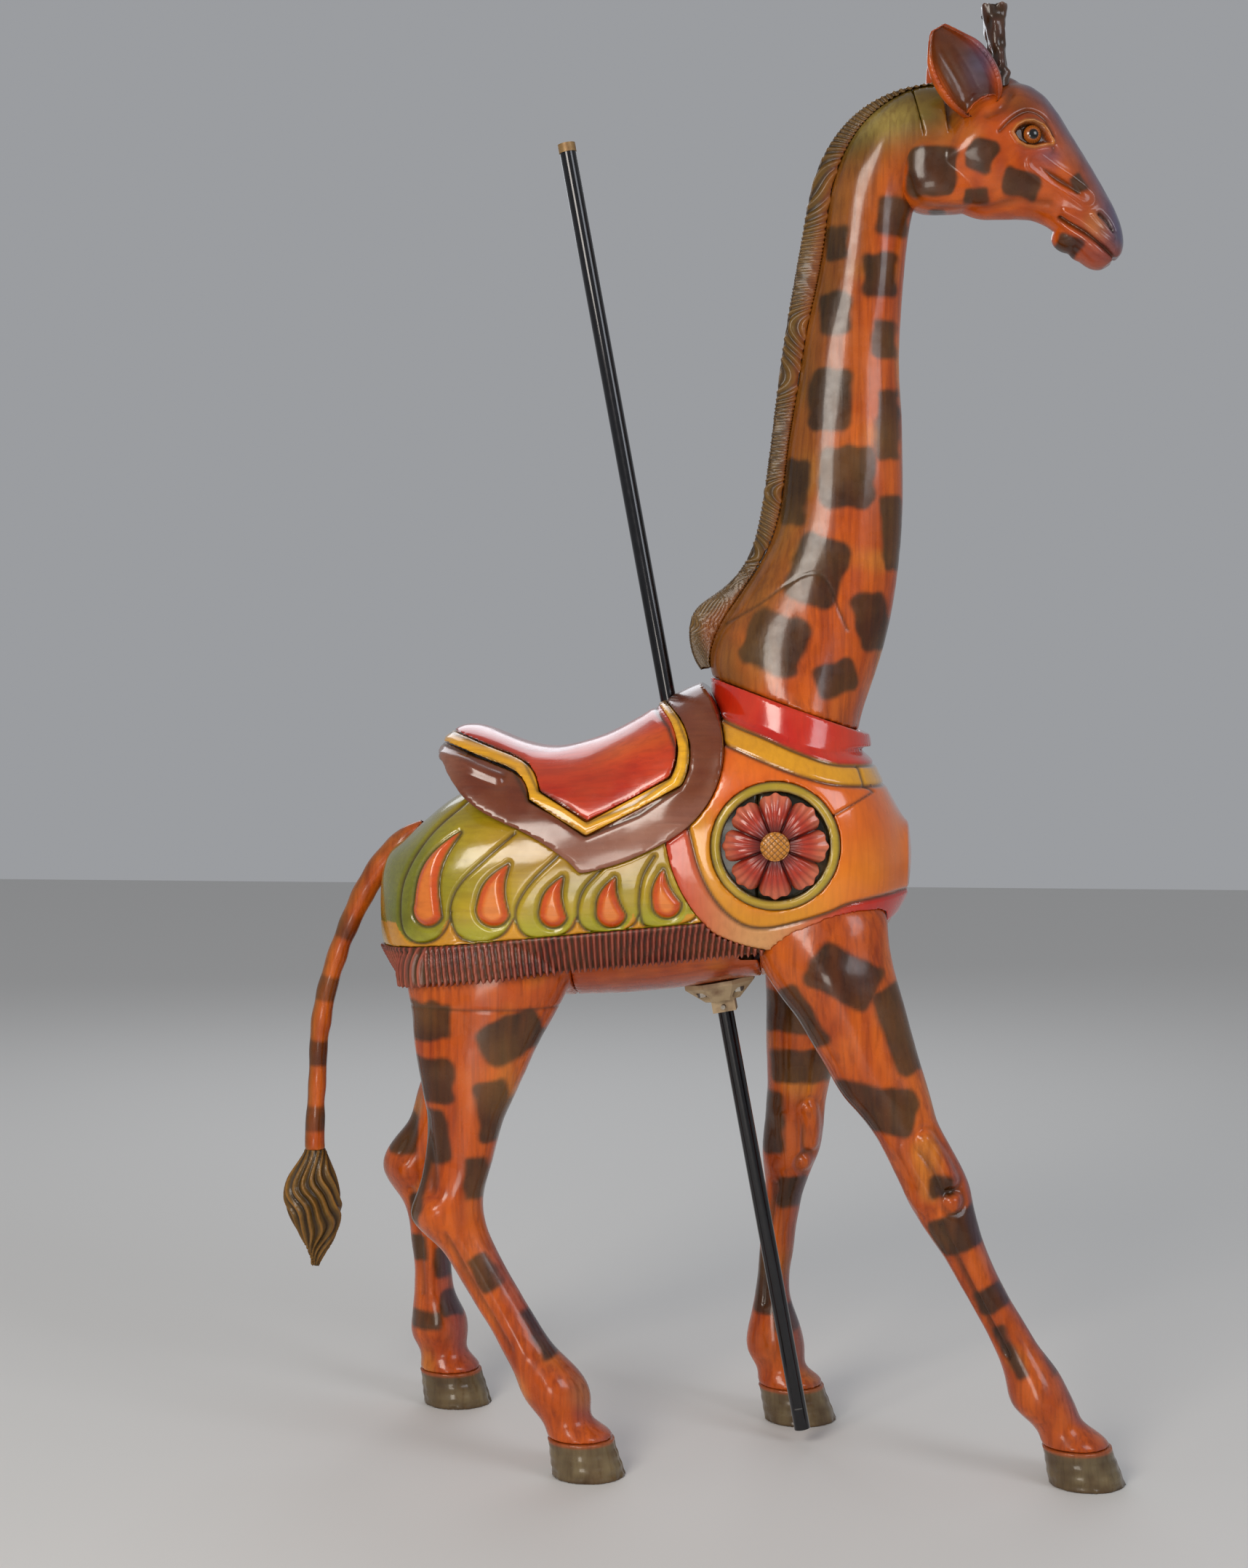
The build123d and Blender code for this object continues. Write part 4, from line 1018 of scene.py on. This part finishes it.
def make_medallion(side_name):
    side = LEFT_RIGHT[side_name]
    ring_node = "medallion_ring_" + side_name
    ring = skin("medallion_ring_carving_" + side_name, [ring_node], voxel=1.8, smooth=3)
    radius = np.hypot(ring.x - MEDAL[0], ring.z - MEDAL[1])
    ring.move(bell(radius - 77.5, 3.5) * 1.5)
    ring.prime(rgb(206, 168, 52), BLANKET_GREEN, 0.25 + 0.3 * ring.noise(24, 101))
    ring.blend(DARK_LINE_AND_SHADE, np.maximum(bell(radius - 84, 2.4), bell(radius - 71, 2.4)) * 0.9)
    ring.finish(trapping_paint, [ring_node], "border_yellow")

    flower_node = "medallion_flower_" + side_name
    low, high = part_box(flower_node)
    face_y = (low.y if side < 0 else high.y) / MM
    back_y = (high.y if side < 0 else low.y) / MM
    rings, spokes = 46, 288
    work = bmesh.new()
    rows = []
    for i in range(rings + 1):
        share = 0.24 + 0.76 * i / rings
        row = []
        for k in range(spokes):
            angle = 2 * math.pi * k / spokes
            petal = abs(math.cos(PETALS / 2 * angle))
            notch = 0.025 * math.cos(angle * 24)
            reach = FLOWER_RADIUS * (0.8 + 0.2 * petal ** 0.4 + notch * petal)
            r = share * reach
            ribs = math.cos(angle * PETAL_RIBS) * 0.55 * math.sin(math.pi * share)
            valley = -6.0 * (1 - petal) ** 3.5
            lift = 9.0 * math.sin(math.pi * min(1, share * 0.86)) - 5 * share ** 3 + valley + ribs - 3
            point = Vector(((MEDAL[0] + r * math.cos(angle) + DRAWING_X) * MM,
                            (face_y + side * (lift - 4)) * MM, (MEDAL[1] + r * math.sin(angle)) * MM))
            row.append(work.verts.new(point))
        rows.append(row)
    skirt = [work.verts.new((v.co.x, back_y * MM, v.co.z)) for v in rows[-1]]
    core = [work.verts.new((v.co.x, back_y * MM, v.co.z)) for v in rows[0]]
    loops = [core] + rows + [skirt]
    for a, b in zip(loops, loops[1:]):
        for k in range(spokes):
            n = (k + 1) % spokes
            work.faces.new((a[k], a[n], b[n], b[k]))
    for k in range(spokes):
        n = (k + 1) % spokes
        work.faces.new((skirt[k], skirt[n], core[n], core[k]))
    bmesh.ops.recalc_face_normals(work, faces=work.faces)
    mesh = bpy.data.meshes.new("medallion_flower_carving_" + side_name)
    work.to_mesh(mesh)
    work.free()
    s = Skin(new_object("medallion_flower_carving_" + side_name, mesh))
    r = np.hypot(s.x - MEDAL[0], s.z - MEDAL[1])
    angle = np.arctan2(s.z - MEDAL[1], s.x - MEDAL[0])
    petal = np.abs(np.cos(PETALS / 2 * angle))
    s.prime(PETAL_RED, PETAL_PALE, ramp(44, 66, r) * 0.8)
    # Darker towards the middle of the flower; painted shade in the clefts between petals and in the valleys
    # between ribs.
    s.blend(PETAL_DARK, ramp(42, 20, r) * 0.8 + (1 - petal) ** 3 * 0.9)
    s.blend(PETAL_DARK, ramp(0.2, -0.9, np.cos(angle * PETAL_RIBS)) * 0.35)
    s.finish(flower_paint, [flower_node], "flower_red")

    boss_node = "medallion_boss_" + side_name
    boss = skin("medallion_boss_carving_" + side_name, [boss_node], voxel=1.0, smooth=2)
    u, v = boss.x - MEDAL[0], boss.z - MEDAL[1]
    dome = np.sqrt(np.clip(1 - (u * u + v * v) / BOSS_RADIUS ** 2, 0, 1))
    front = ramp(0.3, 0.8, boss.n[:, 1] * side)
    hatch = np.minimum(np.abs(np.sin((u + v) / 2.6)), np.abs(np.sin((u - v) / 2.6)))
    boss.shift(dy=side * front * (dome * 6 - 4))
    boss.move(front * (ramp(0.0, 0.4, hatch) - 1) * 1.1)
    boss.prime(BOSS_GOLD, DARK_LINE_AND_SHADE, ramp(0.45, 0.05, hatch) * front * 0.8)
    boss.finish(flower_paint, [boss_node], "boss_gold")


# ---------------------------------------------------------------- metalwork and inner pieces
def make_metalwork():
    dress = {"pole": pole_black, "pole_cap": cap_worn, "belly_plate": plate_cream, "plate_hub": plate_cream,
             "plate_set_screw": bare_steel, "plate_lag_screws": bare_steel, "pole_sleeve": bare_steel}
    for node, material in dress.items():
        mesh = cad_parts[node].data
        mesh.materials.clear()
        mesh.materials.append(material)
    bare = plain_metal("bare_wood", BARE_WOOD, 0.7, 0.0, rust=0.25, scale=40, bump=0.3)
    for node in ("pole_block", "neck_dowels", "head_dowels", "hip_dowels", "cannon_dowels", "hoof_dowels"):
        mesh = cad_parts[node].data
        mesh.materials.clear()
        mesh.materials.append(bare)


# ---------------------------------------------------------------- build
make_neck()
make_head()
make_mane()
for side_name in LEFT_RIGHT:
    make_ear(side_name)
    make_horn(side_name)
    make_eye(side_name)
make_hindquarters()
make_forequarters()
make_barrel()
for hoof in ("right_hind", "left_hind", "right_front", "left_front"):
    make_hoof(hoof)
make_tail()
make_tuft()
make_saddle()
make_blanket()
make_fringe()
make_collar()
for side_name in LEFT_RIGHT:
    make_medallion(side_name)
make_metalwork()


# ---------------------------------------------------------------- floor, light, camera
def make_stage():
    work = bmesh.new()
    bmesh.ops.create_grid(work, x_segments=1, y_segments=1, size=FLOOR_SIZE)
    mesh = bpy.data.meshes.new("floor")
    work.to_mesh(mesh)
    work.free()
    floor = new_object("floor", mesh)
    floor.location.z = -0.0005
    material = bpy.data.materials.new("floor_pale")
    material.use_nodes = True
    shader = material.node_tree.nodes["Principled BSDF"]
    shader.inputs["Base Color"].default_value = (0.7, 0.69, 0.67, 1)
    shader.inputs["Roughness"].default_value = 0.8
    mesh.materials.append(material)
    world = bpy.data.worlds.new("studio")
    bpy.context.scene.world = world
    world.use_nodes = True
    world.node_tree.nodes["Background"].inputs["Color"].default_value = (0.78, 0.8, 0.84, 1)
    world.node_tree.nodes["Background"].inputs["Strength"].default_value = 0.42
    lamps = [("key", (-1.6, -3.6, 2.6), 1.5, 78), ("side", (2.9, -2.4, 2.6), 1.6, 36),
             ("low", (-0.4, -3.9, 0.7), 1.0, 22), ("back", (-0.8, 3.2, 3.2), 2.6, 34)]
    for name, place, size, power in lamps:
        light = bpy.data.lights.new(name, "AREA")
        light.size = size
        light.energy = power
        light.color = (1.0, 0.93, 0.84) if name in ("key", "low") else (0.9, 0.94, 1.0)
        lamp = bpy.data.objects.new(name, light)
        bpy.context.scene.collection.objects.link(lamp)
        lamp.location = place
        aim = Vector((0, 0, 1.0)) - Vector(place)
        lamp.rotation_euler = aim.to_track_quat("-Z", "Y").to_euler()


# The camera stands to the figure's right, a little above its back, and looks down and towards the tail.
LENS = 58.44156               # mm, over a sensor 36 mm high
CAMERA_PLACE = (0.2652175, -3.4635, 1.0659)  # m, row frame
CAMERA_DOWN = 2.6             # degrees
CAMERA_LEFT = 6


def make_camera():
    camera = bpy.data.cameras.new("camera")
    camera.sensor_fit = "VERTICAL"
    camera.sensor_height = 36
    camera.lens = LENS
    holder = bpy.data.objects.new("camera", camera)
    bpy.context.scene.collection.objects.link(holder)
    holder.location = CAMERA_PLACE
    holder.rotation_euler = (math.radians(90 - CAMERA_DOWN), 0, math.radians(CAMERA_LEFT))
    bpy.context.scene.camera = holder


make_stage()
make_camera()
bpy.context.scene.view_settings.view_transform = "Standard"
